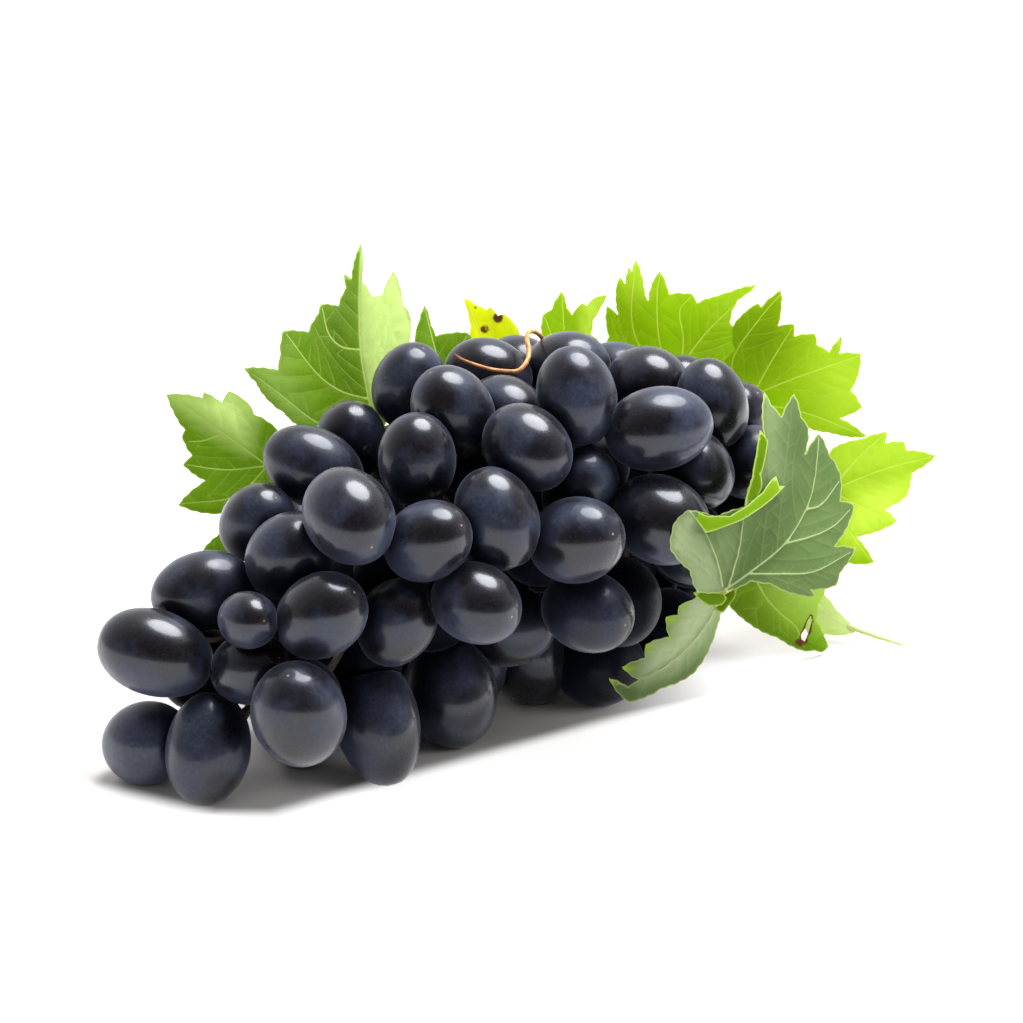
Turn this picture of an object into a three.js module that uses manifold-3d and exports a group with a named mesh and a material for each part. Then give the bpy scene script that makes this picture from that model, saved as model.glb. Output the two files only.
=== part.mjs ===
// A bunch of blue-black table grapes lying on its side, with vine leaves round its back and
// right end, a trailing length of shoot behind it and a tendril over its top.
// Millimetres, +Z up, +X to the right and +Y away from the viewer.

import * as THREE from "three";
import { mergeVertices } from "three/addons/utils/BufferGeometryUtils.js";
import ManifoldModule from "manifold-3d";

const wasm = await ManifoldModule();
wasm.setup();
const { Manifold, Mesh: SolidMesh } = wasm;

// Driving dimensions
const BERRY_WIDTH = 21; // a full-grown berry across its short way
const BERRY_STRETCH = 1.24; // least length of a berry over its width
// Filling of the far side, in turns: least spacing of neighbours, and depth as a share of the girth
const FAR_FILLING = [
  [20, 1],
  [17.5, 1],
  [17, 0.8],
];
const BERRY_PRESS = 0.95; // how close two berries sit, as a share of just touching
const FLOOR_SINK = 0.9; // how far the lowest berries are flattened
const CORE_INSET = 10; // from the berry centres in to the inner core
const CORE_START = 3; // steps of the bunch's line from its tip to where the core begins
const LEAF_THICKNESS = 0.8;
const STALK_RADIUS = 1.15;
const SHOOT_RADIUS = 3.3;
const SHOOT_KNUCKLE = 1.1; // swelling of the shoot where a leaf stalk joins
const TENDRIL_RADIUS = 0.75;
const GAP = 0.3; // left between pieces that touch
const FACET_ALLOWANCE = 1.02; // a faceted berry's corners stand this far out, to keep its bulk
const CENTRE_X = 7.42;
const CENTRE_Y = 12.58;

// The view the bunch is drawn in. A place marked "seen" is [across, down] in its pixels.
const VIEW_PIXELS = 1023;
const BERRY_WIDTH_PIXELS = 85.7;
const PIXEL = BERRY_WIDTH / BERRY_WIDTH_PIXELS;
const VIEW_DISTANCE = 900;
const VIEW_ELEVATION = THREE.MathUtils.degToRad(18);
const AIM_HEIGHT = 55.6;
const MIDDLE = VIEW_PIXELS / 2;
const EYE_PIXELS = VIEW_DISTANCE / PIXEL;
const RIGHT = new THREE.Vector3(1, 0, 0);
const AWAY = new THREE.Vector3(0, Math.cos(VIEW_ELEVATION), -Math.sin(VIEW_ELEVATION));
const UPWARD = new THREE.Vector3(0, Math.sin(VIEW_ELEVATION), Math.cos(VIEW_ELEVATION));
const PLUMB = new THREE.Vector3(0, 0, 1);
const GEOMETRY_POLE = new THREE.Vector3(0, 1, 0);
const EYE = new THREE.Vector3(0, 0, AIM_HEIGHT).addScaledVector(AWAY, -VIEW_DISTANCE);

// The berries that face the viewer, front to back: seen place, length and width in pixels,
// lean of the length from the view's right in degrees, and how far behind the bunch's
// surface it sits in millimetres, or "floor" for one that lies on the floor.
const FRONT_BERRIES = [
  [208, 748, 116, 86, 80, "floor"],
  [299, 714, 108, 96, 102, 0],
  [377, 720, 134, 86, 103, "floor"],
  [147, 743, 92, 84, 20, "floor"],
  [155, 653, 120, 88, -16, 0],
  [321, 616, 98, 84, 35, 0],
  [349, 516, 103, 91, -52, 0],
  [428, 541, 92, 80, 25, 0],
  [497, 519, 108, 84, 110, 0],
  [576, 540, 98, 88, 10, 0],
  [476, 603, 94, 82, -20, 0],
  [452, 692, 116, 92, 95, "floor"],
  [248, 620, 62, 58, 0, 0],
  [417, 460, 96, 78, 90, 0],
  [527, 447, 98, 82, -40, 0],
  [577, 396, 104, 80, 101, 0],
  [658, 429, 112, 84, 12, 0],
  [660, 520, 104, 88, -28, 0],
  [314, 468, 106, 80, -27, 0],
  [453, 412, 98, 82, 120, 0],
  [290, 556, 94, 86, 45, 0],
  [203, 591, 106, 80, 14, 0],
  [588, 611, 94, 82, -20, 0],
  [508, 627, 96, 80, 10, 4],
  [397, 622, 94, 78, 58, 4],
  [257, 523, 84, 74, 50, 0],
  [409, 386, 88, 74, 68, 0],
  [350, 441, 82, 72, 80, 4],
  [250, 668, 84, 74, 20, 6],
  [580, 488, 88, 74, 60, 6],
  [692, 468, 92, 78, -45, 4],
  [712, 404, 94, 72, 104, 0],
  [620, 602, 92, 84, 90, 8],
  [506, 413, 86, 74, -30, 4],
  [647, 383, 82, 74, -10, 0],
  [489, 375, 92, 74, -18, 0],
  [567, 368, 88, 74, 5, 2],
  [754, 462, 86, 74, 10, 0],
  [748, 511, 86, 74, 20, 0],
  [517, 371, 80, 72, 0, 8],
  [613, 378, 84, 74, 10, 6],
  [598, 664, 94, 84, 10, "floor"],
  [662, 630, 90, 78, 50, 14],
];

// The bunch's own line from its tip to the stalk, and the girth of the berry centres along it
const SPINE = [
  [-84, -56, 19],
  [-44, -28, 36],
  [-6, 0, 46],
  [30, 24, 49],
  [54, 42, 48],
  [66, 51, 47],
];
const SPINE_GIRTH = [8, 27, 37, 36, 25, 6];

// The seen outline that the berries on the far side stay inside
const BUNCH_OUTLINE = [
  [97, 640], [150, 580], [225, 500], [275, 440], [325, 405], [375, 360], [420, 346],
  [460, 338], [530, 333], [580, 332], [650, 344], [700, 357], [748, 372], [770, 430],
  [785, 510], [745, 575], [700, 625], [640, 670], [590, 695], [500, 740], [420, 750],
  [400, 782], [360, 784], [340, 760], [300, 762], [250, 755], [235, 800], [200, 806],
  [165, 780], [120, 784], [100, 740],
];
const FLOOR_DROP = 9; // a far berry this near the floor lies on it
const FAR_TRIES = 900;
const FAR_SEED = 1837;
const FAR_BEHIND = 6; // least depth of a far berry behind a facing one that it overlaps in the view

// The trailing shoot from inside the bunch's end round behind it, and where leaves join it
const SHOOT_LINE = [
  [44, 35, 48],
  [60, 47, 47],
  [76, 60, 44],
  [79, 74, 40],
  [62, 89, 34],
  [30, 94, 29],
  [-8, 82, 26],
  [-40, 62, 25],
];

// A side shoot that carries the three small leaves
const SIDE_SHOOT_LINE = [
  [26, 94, 29],
  [20, 88, 42],
  [10, 80, 53],
  [-4, 72, 60],
];
const SIDE_SHOOT_RADIUS = 1.9;

// The tendril's line, from its free end to where it grows out of the bunch: seen place, and
// depth in millimetres behind the aim point
const TENDRIL_SEEN = [
  [455, 355, 4],
  [463, 360, 1],
  [476, 365, -1],
  [490, 369, -2],
  [504, 371, -2],
  [517, 371, -2],
  [526, 363, 0],
  [529, 351, 3],
  [527, 340, 6],
  [529, 332, 11],
  [537, 333, 17],
  [543, 340, 21],
  [545, 352, 22],
  [545, 366, 22],
  [544, 380, 22],
];

// The leaves. "edge" is the seen outline round "hub": tips and the notches between them.
// The blade's depth behind the aim point is "depth" at the hub, with "lean" per millimetre
// right and up, "bow" away from a flat sheet, "fold" along a line at an angle, and "ripple".
// "stalk" is the line from the blade to the shoot, at "joins" along the shoot.
const LEAVES = [
  {
    name: "leaf_left",
    sheets: [
      {
        hub: [262, 482],
        depth: 21,
        lean: [-0.05, 0.05],
        bow: 0.25,
        fold: [143, -0.25],
        ripple: [1.2, 5],
        edge: [
          [167, 394], [203, 398], [204, 392], [222, 403], [230, 391], [244, 406], [253, 409],
          [262, 424], [279, 437], [300, 446], [322, 448], [312, 470], [334, 488], [312, 508],
          [320, 534], [290, 530], [272, 556], [252, 540], [228, 558], [202, 551], [222, 532],
          [236, 516], [223, 513], [210, 514], [178, 505], [205, 481], [183, 465], [192, 456],
          [182, 437], [185, 430], [174, 413],
        ],
      },
    ],
    stalk: [[270, 482], [300, 470, 26], [340, 480, 44]],
    joins: 0.985,
  },
  {
    name: "leaf_upper_left",
    sheets: [
      {
        hub: [362, 380],
        depth: 31,
        lean: [0.1, 0.25],
        bow: 0.2,
        fold: [93, -0.35],
        ripple: [1.2, 4],
        edge: [
          [361, 243], [362, 281], [372, 297], [382, 296], [394, 271], [403, 305], [409, 312],
          [411, 331], [408, 346], [416, 368], [402, 386], [404, 408], [388, 416], [378, 436],
          [360, 428], [340, 446], [322, 430], [298, 426], [284, 413], [265, 397], [256, 383],
          [244, 368], [278, 370], [280, 356], [283, 331], [308, 332], [318, 314], [321, 304],
          [338, 306], [346, 288], [344, 274], [351, 279],
        ],
      },
    ],
    stalk: [[368, 405], [382, 430, 48], [400, 470, 68]],
    joins: 0.86,
  },
  {
    name: "leaf_top_left",
    sheets: [
      {
        hub: [443, 366],
        depth: 37,
        lean: [0.0, 0.2],
        bow: 0.3,
        fold: [105, -0.2],
        ripple: [0.8, 4],
        edge: [
          [425, 305], [431, 325], [436, 336], [450, 333], [468, 333], [474, 342], [482, 362],
          [472, 378], [476, 398], [456, 396], [444, 412], [430, 398], [414, 402], [416, 384],
          [406, 366], [415, 352], [415, 336], [419, 321],
        ],
      },
    ],
    stalk: [[446, 385], [458, 404, 48], [474, 420, 56]],
    side: true,
    joins: 0.97,
  },
  {
    name: "leaf_top_yellow",
    sheets: [
      {
        hub: [494, 355],
        depth: 46,
        lean: [0.05, 0.15],
        bow: 0.3,
        fold: [110, -0.2],
        ripple: [0.8, 4],
        edge: [
          [464, 298], [476, 305], [487, 310], [490, 307], [498, 316], [504, 314], [513, 322],
          [520, 334], [523, 350], [514, 364], [518, 382], [500, 384], [488, 402], [478, 386],
          [460, 384], [466, 366], [456, 350], [470, 340], [471, 326], [468, 312],
        ],
      },
    ],
    stalk: [[495, 380], [506, 398, 58], [520, 410, 64]],
    side: true,
    joins: 0.72,
  },
  {
    name: "leaf_top",
    sheets: [
      {
        hub: [569, 350],
        depth: 61,
        lean: [0.0, 0.15],
        bow: 0.3,
        fold: [95, -0.25],
        ripple: [0.9, 4],
        edge: [
          [562, 291], [567, 308], [572, 315], [582, 303], [587, 306], [594, 298], [607, 295],
          [601, 307], [593, 320], [591, 334], [604, 348], [594, 366], [602, 388], [578, 386],
          [566, 402], [556, 384], [542, 380], [548, 364], [542, 350], [541, 334], [543, 315],
          [551, 310],
        ],
      },
    ],
    stalk: [[566, 380], [573, 402, 68], [575, 420, 74]],
    side: true,
    joins: 0.42,
  },
  {
    name: "leaf_back",
    sheets: [
      {
        hub: [672, 352],
        depth: 67,
        lean: [0.0, 0.1],
        bow: 0.25,
        fold: [40, -0.15],
        ripple: [1.5, 5],
        edge: [
          [609, 337], [606, 324], [607, 306], [618, 315], [616, 288], [620, 277], [625, 284],
          [629, 267], [632, 272], [636, 259], [645, 295], [648, 301], [653, 281], [660, 271],
          [669, 294], [692, 294], [697, 303], [717, 296], [729, 292], [757, 285], [738, 300],
          [732, 311], [730, 322], [742, 345], [730, 362], [742, 392], [708, 388], [698, 416],
          [672, 396], [652, 418], [640, 392], [612, 396], [622, 370], [602, 356],
        ],
      },
    ],
    stalk: [[668, 380], [672, 410, 74], [676, 450, 84]],
    joins: 0.47,
  },
  {
    name: "leaf_back_right",
    sheets: [
      {
        hub: [776, 384],
        depth: 60,
        lean: [0.25, -0.15],
        bow: 0.3,
        fold: [20, -0.2],
        ripple: [1.5, 5],
        edge: [
          [732, 327], [745, 312], [758, 303], [761, 307], [781, 290], [781, 311], [778, 326],
          [794, 324], [794, 336], [815, 334], [817, 345], [829, 352], [842, 336], [839, 353],
          [861, 354], [857, 378], [851, 390], [862, 408], [840, 418], [867, 437], [830, 433],
          [803, 426], [775, 420], [757, 415], [757, 428], [745, 426], [744, 412], [724, 402],
          [734, 388], [720, 366], [734, 350],
        ],
      },
    ],
    stalk: [[752, 400], [762, 430, 66], [770, 462, 74]],
    joins: 0.38,
  },
  {
    name: "leaf_right",
    sheets: [
      {
        hub: [852, 500],
        depth: 62,
        lean: [0.1, 0.15],
        bow: 0.3,
        fold: [15, -0.15],
        ripple: [1.4, 5],
        edge: [
          [834, 447], [862, 439], [887, 432], [885, 443], [904, 442], [906, 450], [936, 456],
          [912, 473], [911, 480], [906, 497], [885, 509], [897, 522], [857, 537], [874, 563],
          [852, 564], [836, 556], [826, 570], [822, 546], [812, 534], [822, 516], [816, 498],
          [824, 486], [822, 468],
        ],
      },
    ],
    stalk: [[840, 500], [826, 500, 66], [816, 494, 72]],
    joins: 0.31,
  },
  {
    name: "leaf_front_right",
    sheets: [
      {
        hub: [762, 540],
        depth: -22,
        lean: [0.45, 0.12],
        bow: 0.3,
        fold: [50, -0.25],
        ripple: [1.2, 5],
        edge: [
          [724, 592], [697, 592], [690, 571], [670, 549], [674, 523], [688, 510], [716, 517], [745, 507],
          [752, 478], [764, 437], [764, 392], [771, 405], [781, 417], [794, 394], [801, 417],
          [809, 429], [805, 454], [819, 433], [829, 454], [841, 476], [840, 501], [854, 504],
          [851, 519], [835, 546], [856, 548], [840, 573], [836, 586], [811, 590], [816, 597],
          [796, 595], [770, 584], [752, 581],
        ],
      },
      {
        hub: [692, 640],
        depth: -13,
        lean: [-0.25, -0.9],
        bow: 0.25,
        fold: [50, 0.2],
        ripple: [0.8, 5],
        edge: [
          [726, 586], [722, 604], [716, 630], [712, 643], [693, 674], [662, 688], [640, 699],
          [630, 702], [622, 697], [609, 678], [628, 687], [639, 680], [622, 667], [645, 658],
          [646, 644], [669, 637], [666, 617], [678, 615], [679, 606], [692, 600], [710, 590],
        ],
      },
    ],
    stalk: [[724, 591], [762, 568, -12], [800, 540, 20], [814, 510, 52]],
    joins: 0.2,
  },
  {
    name: "leaf_low_right",
    sheets: [
      {
        hub: [780, 612],
        depth: 47,
        lean: [0.5, -0.9],
        bow: 0.2,
        fold: [140, -0.15],
        ripple: [0.8, 4],
        edge: [
          [724, 598], [744, 620], [778, 638], [804, 651], [814, 650], [822, 652], [828, 647],
          [824, 636], [816, 620], [818, 604], [826, 588], [808, 578], [800, 560], [780, 570],
          [762, 556], [752, 574], [730, 576],
        ],
      },
    ],
    stalk: [[790, 590], [800, 560, 46], [800, 520, 56]],
    joins: 0.25,
  },
  {
    name: "leaf_floor",
    sheets: [
      {
        hub: [826, 614],
        depth: 69,
        lean: [0.0, 0.0],
        bow: 0.15,
        fold: [140, 0.1],
        ripple: [0.6, 4],
        edge: [
          [858, 631], [846, 620], [836, 610], [826, 596], [812, 590], [802, 596], [790, 592],
          [796, 608], [788, 620], [804, 626], [812, 638], [826, 634], [842, 635],
        ],
      },
    ],
    stalk: [[848, 626], [872, 635, 68], [902, 645, 64.5]],
    joins: null,
  },
];

// Places in the view

function sightLine(across, down) {
  return AWAY.clone()
    .addScaledVector(RIGHT, (across - MIDDLE) / EYE_PIXELS)
    .addScaledVector(UPWARD, (MIDDLE - down) / EYE_PIXELS);
}

function seenPlace(across, down, depth) {
  return EYE.clone().addScaledVector(sightLine(across, down), VIEW_DISTANCE + depth);
}

function seenPixel(place) {
  const from = place.clone().sub(EYE);
  const far = from.dot(AWAY);
  return [MIDDLE + (EYE_PIXELS * from.dot(RIGHT)) / far, MIDDLE - (EYE_PIXELS * from.dot(UPWARD)) / far];
}

function seenDepth(place) {
  return place.clone().sub(EYE).dot(AWAY) - VIEW_DISTANCE;
}

function insideOutline(pixel, outline) {
  let inside = false;
  for (let i = 0, j = outline.length - 1; i < outline.length; j = i, i += 1) {
    const [ax, ay] = outline[i];
    const [bx, by] = outline[j];
    if (ay > pixel[1] !== by > pixel[1] && pixel[0] < ((bx - ax) * (pixel[1] - ay)) / (by - ay) + ax) {
      inside = !inside;
    }
  }
  return inside;
}

function seededDraw(seed) {
  let state = seed;
  return () => {
    state = (state * 1103515245 + 12345) % 2147483648;
    return state / 2147483648;
  };
}

// The bunch's line and girth

function ridge(values, share) {
  const last = values.length - 1;
  const along = Math.min(Math.max(share, 0), 1) * last;
  const i = Math.min(Math.floor(along), last - 1);
  const t = along - i;
  const a = values[Math.max(i - 1, 0)];
  const b = values[i];
  const c = values[i + 1];
  const d = values[Math.min(i + 2, last)];
  const bend = (2 * a - 5 * b + 4 * c - d) * t * t + (3 * b - a - 3 * c + d) * t * t * t;
  return 0.5 * (2 * b + (c - a) * t + bend);
}

function alongLine(line, share) {
  return new THREE.Vector3(
    ridge(line.map((p) => p[0]), share),
    ridge(line.map((p) => p[1]), share),
    ridge(line.map((p) => p[2]), share),
  );
}

const SPINE_STEPS = 40;
const spine = [];
const girth = [];
for (let k = 0; k <= SPINE_STEPS; k += 1) {
  spine.push(alongLine(SPINE, k / SPINE_STEPS));
  girth.push(ridge(SPINE_GIRTH, k / SPINE_STEPS));
}

function outsideBunch(place) {
  let least = Infinity;
  for (let k = 0; k <= SPINE_STEPS; k += 1) {
    least = Math.min(least, spine[k].distanceTo(place) - girth[k]);
  }
  return least;
}

function girthAt(place) {
  let nearest = 0;
  for (let k = 1; k <= SPINE_STEPS; k += 1) {
    if (spine[k].distanceTo(place) < spine[nearest].distanceTo(place)) {
      nearest = k;
    }
  }
  return girth[nearest];
}

// The berries

function reachAlong(berry, way) {
  const c = berry.axis.dot(way);
  return 1 / Math.sqrt((c * c) / berry.long ** 2 + (1 - c * c) / berry.wide ** 2);
}

function heightOf(berry) {
  const c = berry.axis.z;
  return Math.sqrt(berry.long ** 2 * c * c + berry.wide ** 2 * (1 - c * c));
}

function frontBerry(row, depth) {
  const [across, down, seenLong, wide, lean] = row;
  const long = Math.max(seenLong, BERRY_STRETCH * wide);
  const turned = Math.sqrt((seenLong ** 2 - wide ** 2) / (long ** 2 - wide ** 2));
  const angle = THREE.MathUtils.degToRad(lean);
  const size = (VIEW_DISTANCE + depth) / EYE_PIXELS / 2;
  const axis = AWAY.clone().multiplyScalar(-Math.sqrt(1 - turned ** 2));
  axis.addScaledVector(RIGHT, turned * Math.cos(angle));
  axis.addScaledVector(UPWARD, turned * Math.sin(angle));
  return { place: seenPlace(across, down, depth), axis, long: long * size, wide: wide * size };
}

function seatDepth(row) {
  let nearest = Infinity;
  let best = 0;
  for (let depth = -130; depth < 130; depth += 0.5) {
    const berry = frontBerry(row, depth);
    if (row[5] === "floor") {
      if (berry.place.z <= heightOf(berry)) {
        return depth;
      }
    } else {
      const off = outsideBunch(berry.place);
      if (off <= 0) {
        return depth + row[5];
      }
      if (off < nearest) {
        nearest = off;
        best = depth;
      }
    }
  }
  return best + row[5];
}

function settleFront() {
  const home = FRONT_BERRIES.map(seatDepth);
  const depth = [...home];
  for (let round = 0; round < 300; round += 1) {
    const set = FRONT_BERRIES.map((row, i) => frontBerry(row, depth[i]));
    const move = depth.map(() => 0);
    for (let i = 0; i < set.length; i += 1) {
      for (let j = i + 1; j < set.length; j += 1) {
        const way = set[j].place.clone().sub(set[i].place);
        const apart = way.length();
        way.divideScalar(apart);
        const need = BERRY_PRESS * (reachAlong(set[i], way) + reachAlong(set[j], way));
        const behind = depth[j] - depth[i];
        const across = Math.max(0, apart ** 2 - behind ** 2);
        if ((apart < need || behind <= 0) && across < need ** 2) {
          const gap = Math.sqrt(need ** 2 - across) - behind;
          move[i] -= 0.3 * gap;
          move[j] += 0.3 * gap;
        }
      }
    }
    for (let i = 0; i < set.length; i += 1) {
      if (FRONT_BERRIES[i][5] !== "floor") {
        depth[i] += Math.min(Math.max(move[i], -1), 1) + 0.02 * (home[i] - depth[i]);
      }
    }
  }
  return FRONT_BERRIES.map((row, i) => frontBerry(row, depth[i]));
}

function showsOutside(berry) {
  for (let k = 0; k < 8; k += 1) {
    const angle = (k * Math.PI) / 4;
    const rim = berry.place.clone();
    rim.addScaledVector(RIGHT, 0.85 * berry.wide * Math.cos(angle));
    rim.addScaledVector(UPWARD, 0.85 * berry.wide * Math.sin(angle));
    if (!insideOutline(seenPixel(rim), BUNCH_OUTLINE)) {
      return true;
    }
  }
  return false;
}

function standsInFront(berry, facing) {
  const [across, down] = seenPixel(berry.place);
  return facing.some((other) => {
    const [otherAcross, otherDown] = seenPixel(other.place);
    const gap = Math.hypot(otherAcross - across, otherDown - down) * PIXEL;
    const overlaps = gap < 0.8 * (berry.wide + other.wide);
    return overlaps && seenDepth(berry.place) - seenDepth(other.place) < FAR_BEHIND;
  });
}

function farBerry(draw, share, sunk) {
  const angle = draw() * 2 * Math.PI;
  const here = alongLine(SPINE, share);
  const way = alongLine(SPINE, share + 0.01).sub(alongLine(SPINE, share - 0.01)).normalize();
  const side = way.clone().cross(PLUMB).normalize();
  const over = side.clone().cross(way);
  const out = side.multiplyScalar(Math.cos(angle)).addScaledVector(over, Math.sin(angle));
  const wide = (BERRY_WIDTH / 2) * (0.92 + 0.1 * draw());
  const long = wide * (BERRY_STRETCH + 0.06 * draw());
  const axis = new THREE.Vector3(draw() - 0.5, draw() - 0.5, draw() - 0.5).add(out).normalize();
  const place = here.addScaledVector(out, sunk * ridge(SPINE_GIRTH, share));
  const berry = { place, axis, long, wide };
  if (place.z < heightOf(berry) + FLOOR_DROP) {
    place.z = heightOf(berry);
  }
  return berry;
}

function easeApart(far, all) {
  for (const berry of far) {
    for (const other of all) {
      const way = berry.place.clone().sub(other.place);
      const apart = way.length();
      if (apart > 0 && apart < 40) {
        way.divideScalar(apart);
        const need = BERRY_PRESS * (reachAlong(berry, way) + reachAlong(other, way));
        berry.place.addScaledVector(way, 0.4 * Math.max(0, need - apart));
      }
    }
    berry.place.z = Math.max(berry.place.z, heightOf(berry));
  }
}

function farBerries(front) {
  const draw = seededDraw(FAR_SEED);
  const far = [];
  for (const [spacing, sunk] of FAR_FILLING) {
    for (let k = 0; k < FAR_TRIES; k += 1) {
      const berry = farBerry(draw, (((k * 0.381966) % 1) + 0.01) / 1.02, sunk);
      const near = [...front, ...far].some((other) => other.place.distanceTo(berry.place) < spacing);
      if (!near && !showsOutside(berry) && !standsInFront(berry, front)) {
        far.push(berry);
      }
    }
    for (let round = 0; sunk === 1 && round < 40; round += 1) {
      easeApart(far, [...front, ...far]);
    }
  }
  return far;
}

// Solids

function toSolid(geometry) {
  const bare = geometry.clone();
  bare.deleteAttribute("normal");
  bare.deleteAttribute("uv");
  const merged = mergeVertices(bare, 1e-4);
  return new Manifold(
    new SolidMesh({
      numProp: 3,
      vertProperties: new Float32Array(merged.attributes.position.array),
      triVerts: new Uint32Array(merged.index.array),
    }),
  );
}

function toGeometry(solid) {
  const mesh = solid.getMesh();
  const geometry = new THREE.BufferGeometry();
  geometry.setAttribute("position", new THREE.BufferAttribute(new Float32Array(mesh.vertProperties), 3));
  geometry.setIndex(new THREE.BufferAttribute(new Uint32Array(mesh.triVerts), 1));
  geometry.computeVertexNormals();
  return geometry;
}

function berrySolid(berry, sides, rows) {
  const geometry = new THREE.SphereGeometry(FACET_ALLOWANCE, sides, rows);
  geometry.scale(berry.wide, berry.long, berry.wide);
  const turn = new THREE.Quaternion().setFromUnitVectors(GEOMETRY_POLE, berry.axis);
  geometry.applyQuaternion(turn);
  geometry.translate(berry.place.x, berry.place.y, berry.place.z);
  return toSolid(geometry);
}

// A round limb along a curve, its radius given at each share of its length
function limb(curve, steps, sides, radiusAt) {
  const frames = curve.computeFrenetFrames(steps, false);
  const points = [];
  const faces = [];
  for (let k = 0; k <= steps; k += 1) {
    const here = curve.getPointAt(k / steps);
    const radius = radiusAt(k / steps);
    for (let s = 0; s < sides; s += 1) {
      const angle = (s / sides) * 2 * Math.PI;
      const rim = here.clone();
      rim.addScaledVector(frames.normals[k], radius * Math.cos(angle));
      rim.addScaledVector(frames.binormals[k], radius * Math.sin(angle));
      points.push(rim);
      if (k < steps) {
        const a = k * sides + s;
        const b = k * sides + ((s + 1) % sides);
        faces.push(a, b, a + sides, b, b + sides, a + sides);
      }
    }
  }
  const first = points.length;
  points.push(curve.getPointAt(0), curve.getPointAt(1));
  for (let s = 0; s < sides; s += 1) {
    const next = (s + 1) % sides;
    faces.push(first, next, s);
    faces.push(first + 1, steps * sides + s, steps * sides + next);
  }
  const geometry = new THREE.BufferGeometry().setFromPoints(points);
  geometry.setIndex(faces);
  return toSolid(geometry);
}

// A tube of one radius along a curve
function tube(curve, radius) {
  const section = new THREE.Shape().absarc(0, 0, radius, 0, 2 * Math.PI, false);
  const options = { steps: 44, curveSegments: 3, extrudePath: curve, bevelEnabled: false };
  return toSolid(new THREE.ExtrudeGeometry(section, options));
}

function curveThrough(points) {
  return new THREE.CatmullRomCurve3(points, false, "centripetal");
}

// The leaves

function sheetDepth(sheet, across, down) {
  const x = (across - sheet.hub[0]) * PIXEL;
  const y = (sheet.hub[1] - down) * PIXEL;
  const line = THREE.MathUtils.degToRad(sheet.fold[0]);
  const off = y * Math.cos(line) - x * Math.sin(line);
  const round = x * x + y * y;
  const wave = sheet.ripple[0] * Math.sin(sheet.ripple[1] * Math.atan2(y, x)) * (round / 900);
  const crease = sheet.fold[1] * (Math.sqrt(off * off + 4) - 2);
  return sheet.depth + sheet.lean[0] * x + sheet.lean[1] * y + (sheet.bow * round) / 30 + crease + wave;
}

function sheetPlace(sheet, across, down) {
  return seenPlace(across, down, sheetDepth(sheet, across, down));
}

function sheetSolid(sheet) {
  let turn = 0;
  sheet.edge.forEach(([ax, ay], i) => {
    const [bx, by] = sheet.edge[(i + 1) % sheet.edge.length];
    turn += ax * by - bx * ay;
  });
  const edge = turn > 0 ? [...sheet.edge].reverse() : sheet.edge;
  const count = edge.length;
  const rings = [0.36, 0.7, 1];
  const flat = [sheet.hub];
  for (const share of rings) {
    for (const [across, down] of edge) {
      flat.push([
        sheet.hub[0] + (across - sheet.hub[0]) * share,
        sheet.hub[1] + (down - sheet.hub[1]) * share,
      ]);
    }
  }
  const front = [];
  const back = [];
  for (const [across, down] of flat) {
    const here = sheetPlace(sheet, across, down);
    const right = sheetPlace(sheet, across + 1, down).sub(here);
    const up = sheetPlace(sheet, across, down - 1).sub(here);
    const normal = right.cross(up).normalize();
    front.push(here.clone().addScaledVector(normal, LEAF_THICKNESS / 2));
    back.push(here.clone().addScaledVector(normal, -LEAF_THICKNESS / 2));
  }
  const total = flat.length;
  const faces = [];
  const bothSides = (a, b, c) => {
    faces.push(a, b, c);
    faces.push(total + a, total + c, total + b);
  };
  for (let i = 0; i < count; i += 1) {
    const next = (i + 1) % count;
    bothSides(0, 1 + i, 1 + next);
    for (let ring = 0; ring + 1 < rings.length; ring += 1) {
      const a = 1 + ring * count + i;
      const b = 1 + ring * count + next;
      bothSides(a, a + count, b);
      bothSides(b, a + count, b + count);
    }
    const rimA = 1 + (rings.length - 1) * count + i;
    const rimB = 1 + (rings.length - 1) * count + next;
    faces.push(rimA, total + rimA, rimB, rimB, total + rimA, total + rimB);
  }
  const geometry = new THREE.BufferGeometry().setFromPoints([...front, ...back]);
  geometry.setIndex(faces);
  return toSolid(geometry);
}

// Building

const shootCurve = curveThrough(SHOOT_LINE.map((p) => new THREE.Vector3(...p)));
const sideCurve = curveThrough(SIDE_SHOOT_LINE.map((p) => new THREE.Vector3(...p)));
const knuckles = LEAVES.filter((leaf) => leaf.joins !== null && !leaf.side).map((leaf) => leaf.joins);

function shootRadius(share) {
  const swell = knuckles.reduce((sum, at) => sum + Math.exp(-(((share - at) / 0.014) ** 2)), 0);
  const taper = SHOOT_RADIUS * (0.82 + 0.18 * Math.min(1, share / 0.3));
  return taper + SHOOT_KNUCKLE * Math.min(1, swell);
}

function leafSolid(leaf, taken) {
  const parts = leaf.sheets.map(sheetSolid);
  const [root, ...bends] = leaf.stalk;
  const line = [sheetPlace(leaf.sheets[0], ...root)];
  line.push(...bends.map(([across, down, depth]) => seenPlace(across, down, depth)));
  if (leaf.joins !== null) {
    line.push((leaf.side ? sideCurve : shootCurve).getPointAt(leaf.joins));
  }
  const last = leaf.joins === null ? 1.05 : 1.3;
  parts.push(limb(curveThrough(line), 8, 5, (share) => STALK_RADIUS * (0.8 + (last - 0.8) * share)));
  return Manifold.union(parts).subtract(taken);
}

const front = settleFront();
const far = farBerries(front);
const allBerries = [...front, ...far];

const coreCurve = curveThrough(spine.slice(CORE_START));
const core = limb(coreCurve, 14, 14, (share) => Math.max(3, girthAt(coreCurve.getPointAt(share)) - CORE_INSET));
function shootBody(room) {
  const main = limb(shootCurve, 54, 8, (share) => shootRadius(share) + room);
  const side = limb(sideCurve, 10, 6, (share) => SIDE_SHOOT_RADIUS * (1.25 - 0.35 * share) + room);
  return main.add(side);
}

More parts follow.
